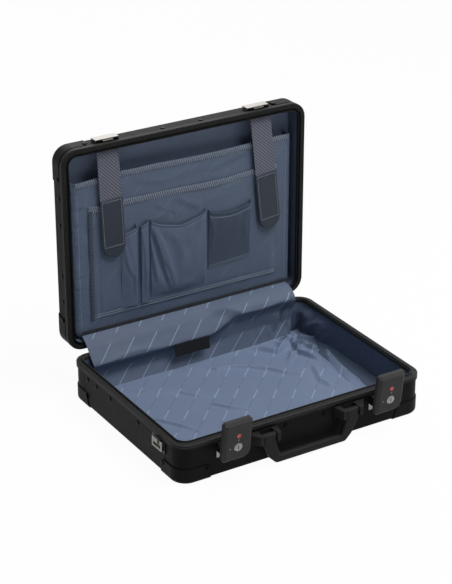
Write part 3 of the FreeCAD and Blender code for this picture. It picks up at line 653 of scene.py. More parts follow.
def cloth(name, front, flat, thickness, material, closed=False):
    """A thin closed sheet: front points on a grid, each with its place on the flat cloth."""
    rows, columns, _ = front.shape
    if closed:
        ring = np.concatenate([front[:, -1:], front, front[:, :1]], axis=1)
        across = (ring[:, 2:] - ring[:, :-2]) / 2
    else:
        across = np.gradient(front, axis=1)
    along = np.gradient(front, axis=0)
    normal = np.cross(across, along)
    normal /= np.maximum(np.linalg.norm(normal, axis=2, keepdims=True), tiny)
    back = front - normal * thickness
    count = rows * columns
    index = np.arange(count).reshape(rows, columns)
    if closed:
        index = np.column_stack([index, index[:, :1]])
    quads = np.stack([index[:-1, :-1], index[:-1, 1:], index[1:, 1:], index[1:, :-1]], -1).reshape(-1, 4)
    faces = [quads, quads[:, ::-1] + count]
    borders = [index[0], index[-1][::-1]]
    if not closed:
        borders += [index[:, -1], index[::-1, 0]]
    for border in borders:
        faces.append(np.column_stack([border[1:], border[:-1], border[:-1] + count, border[1:] + count]))
    points = np.concatenate([front.reshape(-1, 3), back.reshape(-1, 3)])
    places = np.concatenate([flat.reshape(-1, 2)] * 2)
    return new_piece(name, points, np.concatenate(faces), material, places)


def stitches(name, lines, seam, material):
    """Rows of thread bumps along lines of points on cloth that faces the front."""
    pitch, length, radius = seam
    template = []
    for along, share in stitch_rings:
        for side in range(stitch_sides):
            turn = 2 * math.pi * side / stitch_sides
            around = share * radius
            template.append((along * length, around * math.cos(turn), around * math.sin(turn)))
    template = np.array(template)
    template_faces = []
    for ring in range(len(stitch_rings) - 1):
        low = ring * stitch_sides
        high = low + stitch_sides
        for side in range(stitch_sides):
            after = (side + 1) % stitch_sides
            template_faces.append((low + side, high + side, high + after, low + after))
    template_faces = np.array(template_faces)
    points = []
    faces = []
    for line in lines:
        places = np.arange(pitch / 2, lengths_along(line)[-1], pitch)
        for start, end in zip(points_on(line, places - length / 2), points_on(line, places + length / 2)):
            way = (end - start) / np.linalg.norm(end - start)
            side_way = np.cross(facing, way)
            side_way /= np.linalg.norm(side_way)
            lift = np.cross(way, side_way)
            faces.extend(template_faces + len(points) * len(template))
            points.append((start + end) / 2 + template @ np.array([way, side_way, lift]))
    return new_piece(name, np.concatenate(points), faces, material)


# Materials


def srgb(colour):
    """A colour as it shows on screen, three values from 0 to 255 or one for a grey, as linear light."""
    share = np.broadcast_to(colour, 3) / 255
    linear = np.where(share <= 0.04045, share / 12.92, ((share + 0.055) / 1.055) ** 2.4)
    return (*linear.tolist(), 1.0)


class Graph:
    """The nodes of a material or a world, added one at a time."""

    def __init__(self, owner):
        owner.use_nodes = True
        self.owner = owner
        self.tree = owner.node_tree
        self.shader = self.tree.nodes.get("Principled BSDF")

    def add(self, kind, settings=None, **inputs):
        """A node with its settings, and its inputs by name or as input_0, input_1 and so on."""
        node = self.tree.nodes.new("ShaderNode" + kind)
        for key, value in (settings or {}).items():
            setattr(node, key, value)
        for key, value in inputs.items():
            socket = key.replace("_", " ")
            if key.startswith("input_"):
                socket = int(key.removeprefix("input_"))
            self.put(node.inputs[socket], value)
        return node

    def put(self, socket, value):
        """Links or sets one input."""
        if isinstance(value, bpy.types.NodeSocket):
            self.tree.links.new(value, socket)
        else:
            socket.default_value = value

    def math(self, operation, first, second=0.0, clamp=False):
        """One sum."""
        node = self.add("Math", {"operation": operation, "use_clamp": clamp}, input_0=first, input_1=second)
        return node.outputs[0]

    def plus(self, first, second):
        return self.math("ADD", first, second)

    def minus(self, first, second, clamp=False):
        return self.math("SUBTRACT", first, second, clamp)

    def over(self, first, second):
        return self.math("DIVIDE", first, second)

    def times(self, first, *others):
        for other in others:
            first = self.math("MULTIPLY", first, other)
        return first

    def wave(self, value, pitch):
        """A sine wave with its pitch in millimetres."""
        return self.math("SINE", self.times(value, 2 * math.pi / (pitch * MM)))

    def noise(self, coordinates, scale, detail, roughness=0.6):
        """Noise from 0 to 1 over the coordinates."""
        node = self.add("TexNoise", Vector=coordinates, Scale=scale, Detail=detail, Roughness=roughness)
        return node.outputs["Fac"]

    def mix(self, share, *colours):
        """A blend of two colours, each as it shows on screen or from another node."""
        # The node has its colours at inputs 6 and 7, and their blend at output 2.
        first, second = (c if isinstance(c, bpy.types.NodeSocket) else srgb(c) for c in colours)
        node = self.add("Mix", {"data_type": "RGBA"}, input_0=share, input_6=first, input_7=second)
        return node.outputs[2]

    def span(self, value, low=0.0, high=1.0):
        """A value held between 0 and 1 and carried to a range."""
        return self.add("MapRange", Value=value, To_Min=low, To_Max=high).outputs[0]

    def bump(self, height, distance, strength=1.0, after=None):
        """A bump from a height from 0 to 1, the distance in millimetres."""
        node = self.add("Bump", Height=height, Distance=distance * MM, Strength=strength)
        if after is not None:
            self.put(node.inputs["Normal"], after)
        return node.outputs["Normal"]

    def set(self, **inputs):
        """The shader's own inputs. Gives the material."""
        for key, value in inputs.items():
            self.put(self.shader.inputs[key.replace("_", " ")], value)
        return self.owner

    def place(self):
        """Places in the part's frame."""
        return self.add("TexCoord").outputs["Object"]

    def flat(self):
        """Places on the flat cloth, and their two parts, across and along."""
        vector = self.add("Attribute", {"attribute_name": "flat"}).outputs["Vector"]
        parts = self.parts(vector)
        return vector, parts[0], parts[1]

    def parts(self, vector):
        """A vector's three values."""
        return self.add("SeparateXYZ", Vector=vector).outputs

    def shown(self):
        """1 on rays from the camera, whether straight, by a mirror or through glass."""
        rays = self.add("LightPath").outputs
        bent = self.math("MAXIMUM", rays["Is Glossy Ray"], rays["Is Transmission Ray"])
        return self.math("MAXIMUM", rays["Is Camera Ray"], bent)


def new_graph(name):
    """The nodes of a new material."""
    return Graph(bpy.data.materials.new(name))


def hard_finish(name, dark, light, rough, grain, depth, settings):
    """A hard finish with fine grain, soft blotches of colour and uneven gloss."""
    graph = new_graph(name)
    place = graph.place()
    return graph.set(
        Base_Color=graph.mix(graph.noise(place, *metal_blotch), dark, light),
        Roughness=graph.span(graph.noise(place, *metal_gloss), rough - gloss_spread, rough + gloss_spread),
        Normal=graph.bump(graph.noise(place, grain, grain_detail), depth),
        **settings,
    )


def fluted_rim(name, node, plane, axis_in, parting, way, light):
    """Black extrusion with fine flutes that follow its rounded outline, over its face and outer shoulder,
    shown as painted highlight lines that fade down the shoulder.
    """
    low, high = span(node)
    middle = (low + high) / 2
    reach = (high - low) / 2
    graph = new_graph(name)
    place = graph.place()
    values = graph.parts(place)
    squares = []
    for axis in plane:
        off = graph.math("ABSOLUTE", graph.minus(values[axis], middle[axis] * MM))
        off = graph.math("MAXIMUM", graph.minus(off, (reach[axis] - rim_radius) * MM), 0.0)
        squares.append(graph.math("POWER", off, 2.0))
    out = graph.math("SQRT", graph.plus(*squares))
    depth = graph.math("MAXIMUM", graph.times(graph.minus(values[axis_in], parting * MM), way), 0.0)
    turn = graph.over(graph.minus(out, first_flute * MM), flute_pitch * MM)
    turn = graph.plus(turn, graph.over(depth, shoulder_pitch * MM))
    # Painted highlights: light lines on the flute ridges, fading down the outer shoulder as it turns from the
    # light
    swing = graph.math("COSINE", graph.times(turn, 2 * math.pi))
    lines = graph.times(graph.minus(1.0, swing), 0.5)
    shown = graph.minus(1.0, graph.over(depth, shoulder * MM), True)
    lines = graph.times(lines, graph.math("POWER", shown, 0.5))
    black = graph.mix(graph.noise(place, *rim_blotch), (15, 15, 16), (21, 21, 22))
    return graph.set(
        Base_Color=graph.mix(lines, black, light),
        Roughness=graph.span(graph.noise(place, *rim_gloss), 0.38, 0.52),
        Normal=graph.bump(graph.noise(place, *rim_grain), grain_depth),
        Specular_IOR_Level=0.06,
    )


def loop_finish(name):
    """Nickel round the loop's eye and black at the plate's two ends."""
    low, high = span("left_loop_plate")
    graph = new_graph(name)
    place = graph.place()
    off = graph.math("ABSOLUTE", graph.minus(graph.parts(place)[1], (low[1] + high[1]) / 2 * MM))
    bright = graph.math("LESS_THAN", off, loop_bright * MM)
    blotch = graph.noise(place, *loop_blotch)
    nickel = graph.mix(blotch, (112, 110, 106), (140, 138, 134))
    return graph.set(
        Base_Color=graph.mix(bright, graph.mix(blotch, 17, 24), nickel),
        Metallic=bright,
        Roughness=graph.span(graph.noise(place, *metal_gloss), 0.3, 0.44),
        Normal=graph.bump(graph.noise(place, *loop_grain), grain_depth),
        Specular_IOR_Level=0.2,
    )


def lining_cloth(name, dark, light, dash, pattern=1.0, gaps=0.3, shift=-0.09, start=0.0, dash_share=0.44):
    """Lining cloth: fine weave, soft blotches, and thin diagonal woven lines broken into light dashes of
    painted thread sheen, with painted shade between them.
    """
    graph = new_graph(name)
    flat, across, along = graph.flat()
    diagonal = math.sqrt(0.5)
    line = graph.over(graph.times(graph.minus(across, along), diagonal), dash_pitch * MM)
    row = graph.math("FLOOR", line)
    middle = graph.math("ABSOLUTE", graph.minus(graph.minus(line, row), 0.5))
    on_line = graph.minus(1.0, graph.times(middle, dash_pitch / dash_width), True)
    beat = graph.over(graph.times(graph.plus(across, along), diagonal), dash_beat * MM)
    beat = graph.math("FRACT", graph.plus(graph.plus(beat, graph.times(row, shift)), start))
    is_dash = graph.math("LESS_THAN", beat, dash_share)
    colour = graph.mix(graph.noise(flat, *cloth_blotch), dark, light)
    colour = graph.mix(graph.times(graph.noise(flat, *cloth_fuzz), fuzz_share), colour, dash)
    # Painted shade on the lines between the dashes, then painted sheen on the dashes, where the threads turn
    # from or towards the light
    colour = graph.mix(graph.times(on_line, graph.minus(1.0, is_dash), gaps * pattern), colour, line_shade_colour)
    colour = graph.mix(graph.times(on_line, is_dash, pattern), colour, dash)
    weave = graph.span(graph.times(graph.wave(across, weave_pitch), graph.wave(along, weave_pitch)))
    crumple = graph.noise(flat, *cloth_crumple)
    return graph.set(
        Base_Color=colour,
        Roughness=graph.span(graph.noise(flat, *cloth_gloss), 0.48, 0.65),
        Normal=graph.bump(crumple, *crumple_bump, graph.bump(weave, weave_depth)),
        Specular_IOR_Level=0.2,
        Sheen_Weight=0.05,
        Sheen_Roughness=0.45,
    )


def ribbed_tape(name, dark, light, pitch):
    """Narrow woven tape with ribs across its length."""
    graph = new_graph(name)
    flat, across, along = graph.flat()
    ribs = graph.span(graph.wave(graph.plus(across, graph.times(along, tape_slant)), pitch))
    rows = graph.span(graph.wave(along, tape_rows), 0.6, 1.0)
    uneven = graph.span(graph.noise(flat, *tape_wear), 0.5, 1.0)
    fuzz = graph.bump(graph.noise(flat, *tape_fuzz), fuzz_depth)
    return graph.set(
        Base_Color=graph.mix(graph.times(ribs, rows, uneven), dark, light),
        Roughness=graph.span(uneven, 0.6, 0.85),
        Normal=graph.bump(ribs, *rib_bump, fuzz),
        Specular_IOR_Level=0.25,
        Sheen_Weight=0.2,
    )


def twill(name, dark, light):
    """Heavy webbing with slanting ribs and fine threads along them."""
    graph = new_graph(name)
    flat, across, along = graph.flat()
    ribs = graph.span(graph.wave(graph.plus(graph.times(across, twill_slant), along), twill_pitch))
    threads = graph.span(graph.wave(across, twill_thread), 0.75, 1.0)
    uneven = graph.span(graph.noise(flat, *webbing_wear), 0.6, 1.0)
    shade = graph.times(graph.math("POWER", ribs, twill_power), threads, uneven)
    return graph.set(
        Base_Color=graph.mix(shade, dark, light),
        Roughness=graph.span(uneven, 0.65, 0.85),
        Normal=graph.bump(threads, *twill_bump),
        Specular_IOR_Level=0.25,
        Sheen_Weight=0.25,
    )


def hide(name, dark, light):
    """Smooth leather with a pebbled grain and worn, lighter patches."""
    graph = new_graph(name)
    place = graph.place()
    cells = graph.add("TexVoronoi", {"feature": "DISTANCE_TO_EDGE"}, Vector=place, Scale=leather_cells)
    grain = graph.math("MULTIPLY", cells.outputs["Distance"], leather_sharp, True)
    lumps = graph.bump(graph.noise(place, *leather_lumps), *lump_bump)
    wear = graph.noise(place, *leather_wear)
    return graph.set(
        Base_Color=graph.mix(wear, dark, light),
        Roughness=graph.span(wear, 0.5, 0.68),
        Normal=graph.bump(grain, *pebble_bump, lumps),
        Specular_IOR_Level=0.4,
    )


def woven(name, dark, light):
    """A plain small weave over the flat cloth."""
    graph = new_graph(name)
    flat, across, along = graph.flat()
    weave = graph.span(graph.times(graph.wave(across, label_thread), graph.wave(along, label_thread)))
    return graph.set(
        Base_Color=graph.mix(weave, dark, light),
        Roughness=graph.span(graph.noise(flat, *label_gloss), 0.6, 0.8),
        Normal=graph.bump(weave, label_depth),
        Specular_IOR_Level=0.25,
    )


def thread_finish(name, dark, light):
    """Pale sewing thread, twisted and a little uneven."""
    graph = new_graph(name)
    twist = graph.noise(graph.place(), *thread_twist)
    return graph.set(
        Base_Color=graph.mix(twist, dark, light),
        Roughness=graph.span(twist, 0.55, 0.75),
        Normal=graph.bump(twist, thread_depth),
        Specular_IOR_Level=0.3,
    )


base_parting = span("base_rim")[1][2] - tongue_height
lid_parting = span("lid_rim")[0][1]
loop_plate = loop_finish("loop_plate_nickel")
hard = {slot: hard_finish(*row) for slot, row in hard_finishes.items()}
own_finishes = {
    # The base rim's painted flute highlights are lighter than the lid rim's: painted light on its upward face
    "base_rim": fluted_rim("base_rim_fluted", "base_rim", (0, 1), 2, base_parting, -1.0, 74),
    "lid_rim": fluted_rim("lid_rim_fluted", "lid_rim", (0, 2), 1, lid_parting, 1.0, 54),
    "left_loop_plate": loop_plate,
    "right_loop_plate": loop_plate,
}
soft = {key: lining_cloth("lining_" + key, *row[:3], **row[3]) for key, row in lining_cloths.items()}
soft["tape"] = ribbed_tape("hem_tape", (80, 89, 104), (174, 185, 202), tape_rib)
soft["side_tape"] = ribbed_tape("side_tape", (50, 58, 72), (102, 112, 130), side_rib)
soft["binding"] = ribbed_tape("binding_dark", (21, 24, 30), (48, 54, 65), binding_rib)
soft["webbing"] = twill("webbing_grey", (82, 85, 97), (130, 133, 149))
soft["leather"] = hide("tab_leather", (35, 42, 53), (45, 53, 65))
soft["label"] = woven("label_black", (9, 10, 14), (24, 26, 33))
soft["thread"] = thread_finish("thread_pale", (158, 167, 180), (206, 213, 223))
soft["thread_blue"] = thread_finish("thread_blue", (136, 147, 166), (184, 195, 211))
dot_grey = hard_finish(*dot_finish)

for part in frame["record"]["subparts"]:
    name = part["node"]
    finish = own_finishes.get(name, hard.get(part["material_slot"]))
    if finish is not None:
        nodes[name].data.materials.clear()
        nodes[name].data.materials.append(finish)


def dress(piece, body, slot, *replaced):
    """Puts a piece on its body and hides the nodes that it stands for. The slot is not used."""
    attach(piece, body)
    if replaced:
        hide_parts(*replaced)
    return piece


def sew(name, lines, seam, thread, body="lid", slot="pocket_cloth"):
    """Stitches along lines, put on a body."""
    return dress(stitches(name, lines, seam, soft[thread]), body, slot)


# Base lining


def rounded_half(along, half, radius):
    """How far a rounded rectangle's end draws its side in, at a place along its length."""
    past = np.clip(np.abs(along) - (half - radius), 0, radius)
    return radius - np.sqrt(radius ** 2 - past ** 2)


def floor_lining():
    """The laid floor lining: slack cloth, creased, and bunched in the right rear corner."""
    low, high = span("base_floor_lining")
    middle = (low + high) / 2
    half = (high - low) / 2
    s, t = grid(*floor_cells)
    y = middle[1] + (2 * t - 1) * half[1]
    x = (2 * s - 1) * (half[0] - rounded_half(y - middle[1], half[1], lining_corner))
    z = high[2] - floor_drop + folds(x, y, floor_folds) + ripple(x, y, floor_ripples)
    for path, rise in floor_tucks:
        z += tuck(x, y, path, rise)
    bunch = bell(np.hypot(x - bunch_place[0], y - bunch_place[1]) / bunch_reach)
    crest_height, cell, seed = crest_ripple
    crest = crest_height * (1 - np.abs(noise(x, crest_stretch * y, cell, seed))) ** crest_power
    z += bunch * (bunch_rise + ripple(x, y, bunch_ripples) + crest)
    edge = np.minimum(half[0] - np.abs(x), half[1] - np.abs(y - middle[1]))
    z += (1 - smooth(edge / floor_edge)) * (floor_edge_rise + ripple(x, y, floor_edge_ripples))
    front = np.stack([x, y, np.maximum(z, low[2] + floor_least)], -1)
    piece = cloth("floor_lining", front, np.stack([x, y], -1), floor_thick, soft["floor"])
    dress(piece, "base", "lining_light", "base_floor_lining")


def round_path(half, radius, count):
    """Points round a rounded rectangle, evenly spaced and anticlockwise from the middle of its right side."""
    x, y = half[0] - radius, half[1] - radius
    quarter = math.pi * radius / 2
    lengths = (y, quarter, 2 * x, quarter, 2 * y, quarter, 2 * x, quarter, y)
    starts = np.concatenate([[0], np.cumsum(lengths)])
    corners = {1: (x, y, 0), 3: (-x, y, 90), 5: (-x, -y, 180), 7: (x, -y, 270)}
    lines = {0: ((half[0], 0), (0, 1)), 2: ((x, half[1]), (-1, 0)), 4: ((-half[0], y), (0, -1)),
             6: ((-x, -half[1]), (1, 0)), 8: ((half[0], -y), (0, 1))}
    places = np.arange(count) * starts[-1] / count
    points = []
    for place in places:
        leg = min(int(np.searchsorted(starts, place, side="right")), len(lengths)) - 1
        run = place - starts[leg]
        if leg in lines:
            start, way = lines[leg]
            points.append((start[0] + way[0] * run, start[1] + way[1] * run))
        else:
            corner_x, corner_y, turn = corners[leg]
            angle = math.radians(turn) + run / radius
            points.append((corner_x + radius * math.cos(angle), corner_y + radius * math.sin(angle)))
    return np.array(points), places, starts[-1]


def base_wall_lining():
    """The upright lining: pleats gathered in the right rear corner, and a slack foot along the right side."""
    low, high = span("base_wall_lining")
    middle = (low + high) / 2
    half = (high - low) / 2 - wall_inset
    columns, rows = base_wall_cells
    points, places, length = round_path(half, wall_corner, columns)
    t = np.linspace(0, 1, rows)[:, None]
    x, y = (np.repeat(points[None, ::-1, axis], rows, 0) + middle[axis] for axis in range(2))
    run = np.repeat(places[None, ::-1], rows, 0)
    z = low[2] + t * (high[2] - low[2]) + 0 * x
    pleat_depth, cell, seed = pleat_ripple
    pleats = 1 - np.abs(noise(run + pleat_lean * z, pleat_stretch * z, cell, seed))
    gather = bell(np.hypot((x - gather_place[0]) / gather_reach[0], (y - gather_place[1]) / gather_reach[1]))
    inward = base_wall_bulge + ripple(run, z, base_wall_ripples)
    inward += gather * (gather_rise + pleat_depth * pleats ** pleat_power)
    inward *= eased(t * wall_foot_fades, wall_foot_share) * smooth((1 - t) * wall_top_fades)
    skirt = ramp(x, *skirt_side) * ramp(y, *skirt_front) * ramp(y, *skirt_back)
    skirt *= skirt_reach * (1 + ripple(run, 0 * run, skirt_ripples))
    inward += skirt * (1 - smooth(t / skirt_height_share))
    side = np.abs(x) / half[0] > np.abs(y - middle[1]) / half[1]
    x = x + np.where(side, np.sign(middle[0] - x), 0) * inward
    y = y + np.where(side, 0, np.sign(middle[1] - y)) * inward
    front = np.stack([x, y, z], -1)
    # Its cloth is darkened with painted shade
    piece = cloth("base_wall_lining_cloth", front, np.stack([run, z], -1), wall_thick, soft["wall"], True)
    dress(piece, "base", "lining_dark", "base_wall_lining")


def gusset():
    """The lining that bridges the hinge: slanting and slack at the left, arched higher at the right."""
    low, high = span("hinge_gusset")
    columns, rows = gusset_cells
    s = np.linspace(0, 1, columns)
    t = np.linspace(0, 1, rows)
    x_top = low[0] + s * (high[0] - low[0])
    left, right = np.array(gusset_left), np.array(gusset_right)
    profile = np.zeros((rows, columns, 2))
    for column, swell in enumerate(ramp(x_top, *gusset_swell)):
        knots = left + swell * (right - left)
        profile[:, column] = points_on(knots, t * lengths_along(knots)[-1])
    for _ in range(gusset_passes):
        profile[1:-1] = (profile[:-2] + 2 * profile[1:-1] + profile[2:]) / 4
    taper = gusset_taper * (1 - smooth(t * taper_fades))[:, None]
    x = x_top - np.sign(x_top) * taper * np.abs(2 * s - 1)
    # The cloth's length is taken a third of the way across, where it slants.
    flat_v = lengths_along(profile[:, columns // 3])
    v = np.repeat(flat_v[:, None], columns, 1)
    out = ripple(x, v, gusset_ripples) + folds(x, v, gusset_folds)
    curtain = ramp(x, *curtain_side) * ramp(v, *curtain_top)
    for stretch, row in curtain_ripples:
        out += curtain * ripple(x, stretch * v, (row,))
    out *= faded(t, gusset_foot_fades, gusset_top_fades)[:, None]
    front = np.stack([x, profile[..., 0] + gusset_way[0] * out, profile[..., 1] + gusset_way[1] * out], -1)
    piece = cloth("hinge_gusset_cloth", front, np.stack([x, v], -1), gusset_thick, soft["gusset"])
    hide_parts("hinge_gusset")
    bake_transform(piece)


def label():
    """The bare label, sewn on at the fold and hanging a little free."""
    low, high = span("lining_label")
    s, t = grid(*label_cells)
    x = low[0] + s * (high[0] - low[0])
    z = low[2] + t * (high[2] - low[2])
    y = low[1] - label_stand - label_lean * (1 - t) + label_wave * np.sin(s * label_turns)
    piece = cloth("label_cloth", np.stack([x, y, z], -1), np.stack([x, z], -1), label_thick, soft["label"])
    dress(piece, "base", "label_black", "lining_label")


# Lid lining


def lid_lining():
    """The cloth on the lid's panel, seen above the document pocket."""
    low, high = span("lid_lining")
    middle = (low + high) / 2
    half = (high - low) / 2
    s, t = grid(*lid_cells)
    z = middle[2] + (2 * t - 1) * half[2]
    x = (2 * s - 1) * (half[0] - rounded_half(z - middle[2], half[2], lining_corner))
    y = low[1] + lid_drop - ripple(x, z, lid_ripples) - folds(x, z, lid_folds)
    # Its cloth is lightened with painted light against the rim's shadow
    piece = cloth("lid_lining_cloth", np.stack([x, y, z], -1), np.stack([x, z], -1), lid_thick, soft["lid"])
    dress(piece, "lid", "lining_dark", "lid_lining")


def lid_wall_lining():
    """The upright lining round the inside of the lid."""
    low, high = span("lid_wall_lining")
    middle = (low + high) / 2
    half = ((high - low) / 2)[[0, 2]] - wall_inset
    columns, rows = lid_wall_cells
    points, places, length = round_path(half, wall_corner, columns)
    t = np.linspace(0, 1, rows)[:, None]
    x = np.repeat(points[None, :, 0], rows, 0)
    z = np.repeat(points[None, :, 1], rows, 0) + middle[2]
    run = np.repeat(places[None, :], rows, 0)
    y = low[1] + lid_wall_end + t * (high[1] - low[1] - 2 * lid_wall_end) + 0 * x
    inward = (lid_wall_bulge + ripple(run, y, lid_wall_ripples)) * np.sin(np.pi * t)
    side = np.abs(x) / half[0] > np.abs(z - middle[2]) / half[1]
    x = x - np.where(side, np.sign(x), 0) * inward
    z = z - np.where(side, 0, np.sign(z - middle[2])) * inward
    front = np.stack([x, y, z], -1)
    # Its cloth is darkened with painted shade
    piece = cloth("lid_wall_lining_cloth", front, np.stack([run, y], -1), wall_thick, soft["wall"], True)
    dress(piece, "lid", "lining_dark", "lid_wall_lining")


# Organiser. A pocket's front is a grid of X and Z, with its Y worked out from how far it stands out.


def strip(name, path, size, material, upright=False):
    """A ribbed tape on the lid along a line of points, with its width below the line or right of it."""
    width, stand = size
    length = lengths_along(path)[-1]
    run = np.linspace(0, length, int(length / tape_step))
    line = points_on(path, run)
    t = np.linspace(0, 1, tape_points)[:, None]
    arch = 1 - np.abs(2 * t - 1) ** tape_power
    front = np.repeat(line[None], tape_points, 0)
    front[..., 0 if upright else 2] += (1 - t) * (width if upright else -width)
    front[..., 1] -= stand * (tape_edge_share + (1 - tape_edge_share) * arch)
    front[..., 1] -= tape_rise * np.sin(2 * np.pi * run / tape_rib) * arch
    flat = np.stack(np.broadcast_arrays(run[None], t * width), -1)
    return dress(cloth(name, front, flat, tape_thick, material), "lid", "pocket_cloth")


def hem_line(x, points):
    """A smooth hem height through points of X and Z."""
    places, heights = np.array(points, float).T
    dense = np.linspace(places[0], places[-1], hem_points)
    kernel = np.hanning(hem_window)
    padded = np.pad(np.interp(dense, places, heights), hem_window // 2, "edge")
    return np.interp(x, dense, np.convolve(padded, kernel / kernel.sum(), "valid"))


def panel(name, ends, foot, hem, stand, cells, material, plane, slope=0.0):
    """A flat-cut pocket front between two X ends, from its foot to a hem line, standing out from a plane."""
    s, t = grid(*cells)
    x = ends[0] + s * (ends[1] - ends[0])
    low = foot + (x - ends[0]) * slope
    z = low + t * (hem_line(x, hem) - low)
    front = np.stack([x, plane - stand(x, z, s, t), z], -1)
    return cloth(name, front, np.stack([x, z], -1), panel_thick, material), front


def raised(line, lift=thread_lift):
    """A line of points moved out from its cloth, for thread to lie on."""
    return line + lift * facing


def edge_run(front, share, inset, lift=thread_lift):
    """The row at a share of a pocket front's height, without its two ends, for stitching."""
    line = raised(front[round(share * (len(front) - 1))], lift)
    keep = (line[:, 0] > line[0, 0] + inset) & (line[:, 0] < line[-1, 0] - inset)
    return line[keep]


document_low, document_high = span("document_pocket")
file_low, file_high = span("file_pocket")


def document_pocket():
    """The large pocket: a slack front that turns back into sides, with puckered seams and a ribbed hem."""
    low, high = document_low, document_high
    depth = high[1] - low[1] - document_inset
    width = high[0] - low[0]
    s, t = grid(*document_cells)
    run = s * (width + 2 * depth)
    z = low[2] + t * (hem_line(run - depth + low[0], document_hem) - low[2])
    draw = rounded_half(np.minimum(z - low[2] - document_straight, 0), document_straight, document_corner)
    x = np.clip(run - depth, 0, width) + low[0]
    share = (x - (low[0] + high[0]) / 2) / (width / 2)
    x = x - share * draw
    back = np.where(run < depth, depth - run, np.maximum(run - depth - width, 0))
    is_front = (run > depth) & (run < depth + width)
    from_side = width / 2 * (1 - np.abs(share))
    bend, cell, seed = pucker_bend
    pucker = pucker_wave * np.sin(z * pucker_turn + bend * noise(x, z, cell, seed))
    pucker += ripple(x, z, pucker_ripples)
    slack = ripple(x, z, document_ripples) + folds(x, z, document_folds)
    slack = smooth(from_side / document_side) * slack + np.exp(-from_side / pucker_reach) * pucker
    y = low[1] + back + document_gap - is_front * slack * smooth(t * document_foot_fades)
    y += document_turn * np.where(is_front, 1 - smooth(from_side / document_turn_reach), 1)
    y = np.minimum(y, high[1] - document_back_gap)
    pleat = np.sin(np.pi * np.clip(back / depth, 0, 1)) * document_pleat * ~is_front
    x = x - np.sign(share) * pleat
    front = np.stack([x, y, z], -1)
    piece = cloth("document_pocket_cloth", front, np.stack([x, z], -1), document_thick, soft["pocket"])
    dress(piece, "lid", "pocket_cloth", "document_pocket")
    reach = depth + document_tape_inset
    inside = np.flatnonzero((run[0] > reach) & (run[0] < width + 2 * depth - reach))
    tape = strip("document_hem_tape", front[-1, inside], document_tape, soft["tape"])
    sides = (inside[0] + document_seam_left, inside[-1] + 1 - document_seam_right)
    lines = [raised(front[document_seam_end:-document_seam_end, side], document_seam_lift) for side in sides]
    seam = sew("document_side_stitches", lines, document_seam, "thread_blue")


def file_stand(x, z, s, t):
    """How far the file pocket stands out from the document pocket."""
    out = file_rise + ripple(x, z, file_ripples) + folds(x, z, file_folds)
    out -= groove_depth * bell((x - groove_place) / groove_half) * smooth((1 - t) * groove_fades)
    edge = np.minimum(x - file_low[0], file_high[0] - x)
    out *= eased(edge / file_edge, file_edge_share) * eased(t * file_foot_fades, file_foot_share)
    return np.clip(out, file_least, file_most)


def file_pocket():
    """The second pocket, with a wavy ribbed hem, a bound left edge and a doubly stitched foot."""
    low, high = file_low, file_high
    piece, front = panel("file_pocket_cloth", (low[0], high[0]), low[2], file_hem, file_stand, file_cells,
                         soft["pocket"], high[1] + file_gap)
    dress(piece, "lid", "pocket_cloth", "file_pocket")
    tape = strip("file_hem_tape", front[-1], file_tape, soft["tape"])
    edge = front[:-file_binding_end, 0][::-1]
    binding = strip("file_side_binding", edge, side_binding, soft["side_tape"], upright=True)
    lines = [edge_run(front, share, file_seam_inset, file_seam_lift) for share in file_seam_shares]
    seam = sew("file_foot_stitches", lines, file_seam, "thread")


def organiser_binding():
    """The dark ribbed tape that covers the gusset's edge below the pockets."""
    x = np.linspace(*binding_ends, binding_points)
    z = binding_height + ripple(x, 0 * x, binding_ripples)
    path = np.stack([x, np.full(binding_points, file_high[1] - binding_stand), z], -1)
    strip("organiser_binding", path, foot_binding, soft["binding"])


def small_stand(out, most, t):
    """A small pocket's stand, held within limits, with the roll along its mouth and its stitches' groove."""
    out = np.clip(out, small_least, most) + small_gap
    for height, place, width in (hem_roll, hem_groove):
        out += height * bell((t - place) / width)
    return out


def pen_pockets():
    """Two narrow pleated pockets, each rolled towards a deep slit on its right."""
    made = []
    lines = []
    plane = file_low[1] + small_plane
    for name, ends, hem, height, steep, seed, rows in pens:

        def stand(x, z, s, t):
            arch = steep * smooth(s / pen_left_share) + (1 - steep) * smooth(s / pen_crown_share)
            arch *= smooth((1 - s) / pen_right_share)
            out = height * arch * eased(t * pen_foot_fades, pen_foot_share)
            return small_stand(out + folds(x, z, rows) + ripple(x, z, ((*pen_ripple, seed),)), pen_most, t)

        piece, front = panel(name, ends, small_foot, hem, stand, pen_cells, soft["small_pocket"], plane)
        lines.append(edge_run(front, small_seam_share, pen_seam_inset))
        if not made:
            lines.append(raised(front[:, 1]))
        made.append(dress(piece, "lid", "pocket_cloth"))
    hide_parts("pen_pockets")
    sew("pen_pocket_stitches", lines, pen_seam, "thread_blue")


def notebook_stand(x, z, s, t):
    """How far the notebook pocket stands out: a belly near its foot, and folds from its left peak."""
    belly = belly_share + ripple(x, 0 * x, belly_ripples)
    rise = belly_stand_share * np.sin(np.pi / 2 * np.clip(t / belly, 0, 1)) + (1 - belly_stand_share) * t
    swell = notebook_side_share + (1 - notebook_side_share) * np.sin(np.pi * s) ** swell_power
    out = notebook_stand_most * swell * rise + folds(x, z, notebook_folds) + ripple(x, z, notebook_ripples)
    out *= smooth(np.minimum(s, 1 - s) * small_side_fades) * eased(t * notebook_foot_fades, small_foot_share)
    return small_stand(out, notebook_most, t)


def notebook_pocket():
    """The slack notebook pocket, with a hem that dips between two peaks."""
    ends = notebook_ends
    piece, front = panel("notebook_pocket_cloth", ends, small_foot, notebook_hem, notebook_stand,
                         notebook_cells, soft["small_pocket"], file_low[1] + small_plane)
    dress(piece, "lid", "pocket_cloth", "notebook_pocket")
    line = edge_run(front, small_seam_share, notebook_seam_inset)
    seam = sew("notebook_stitches", [line], small_seam, "thread_blue")


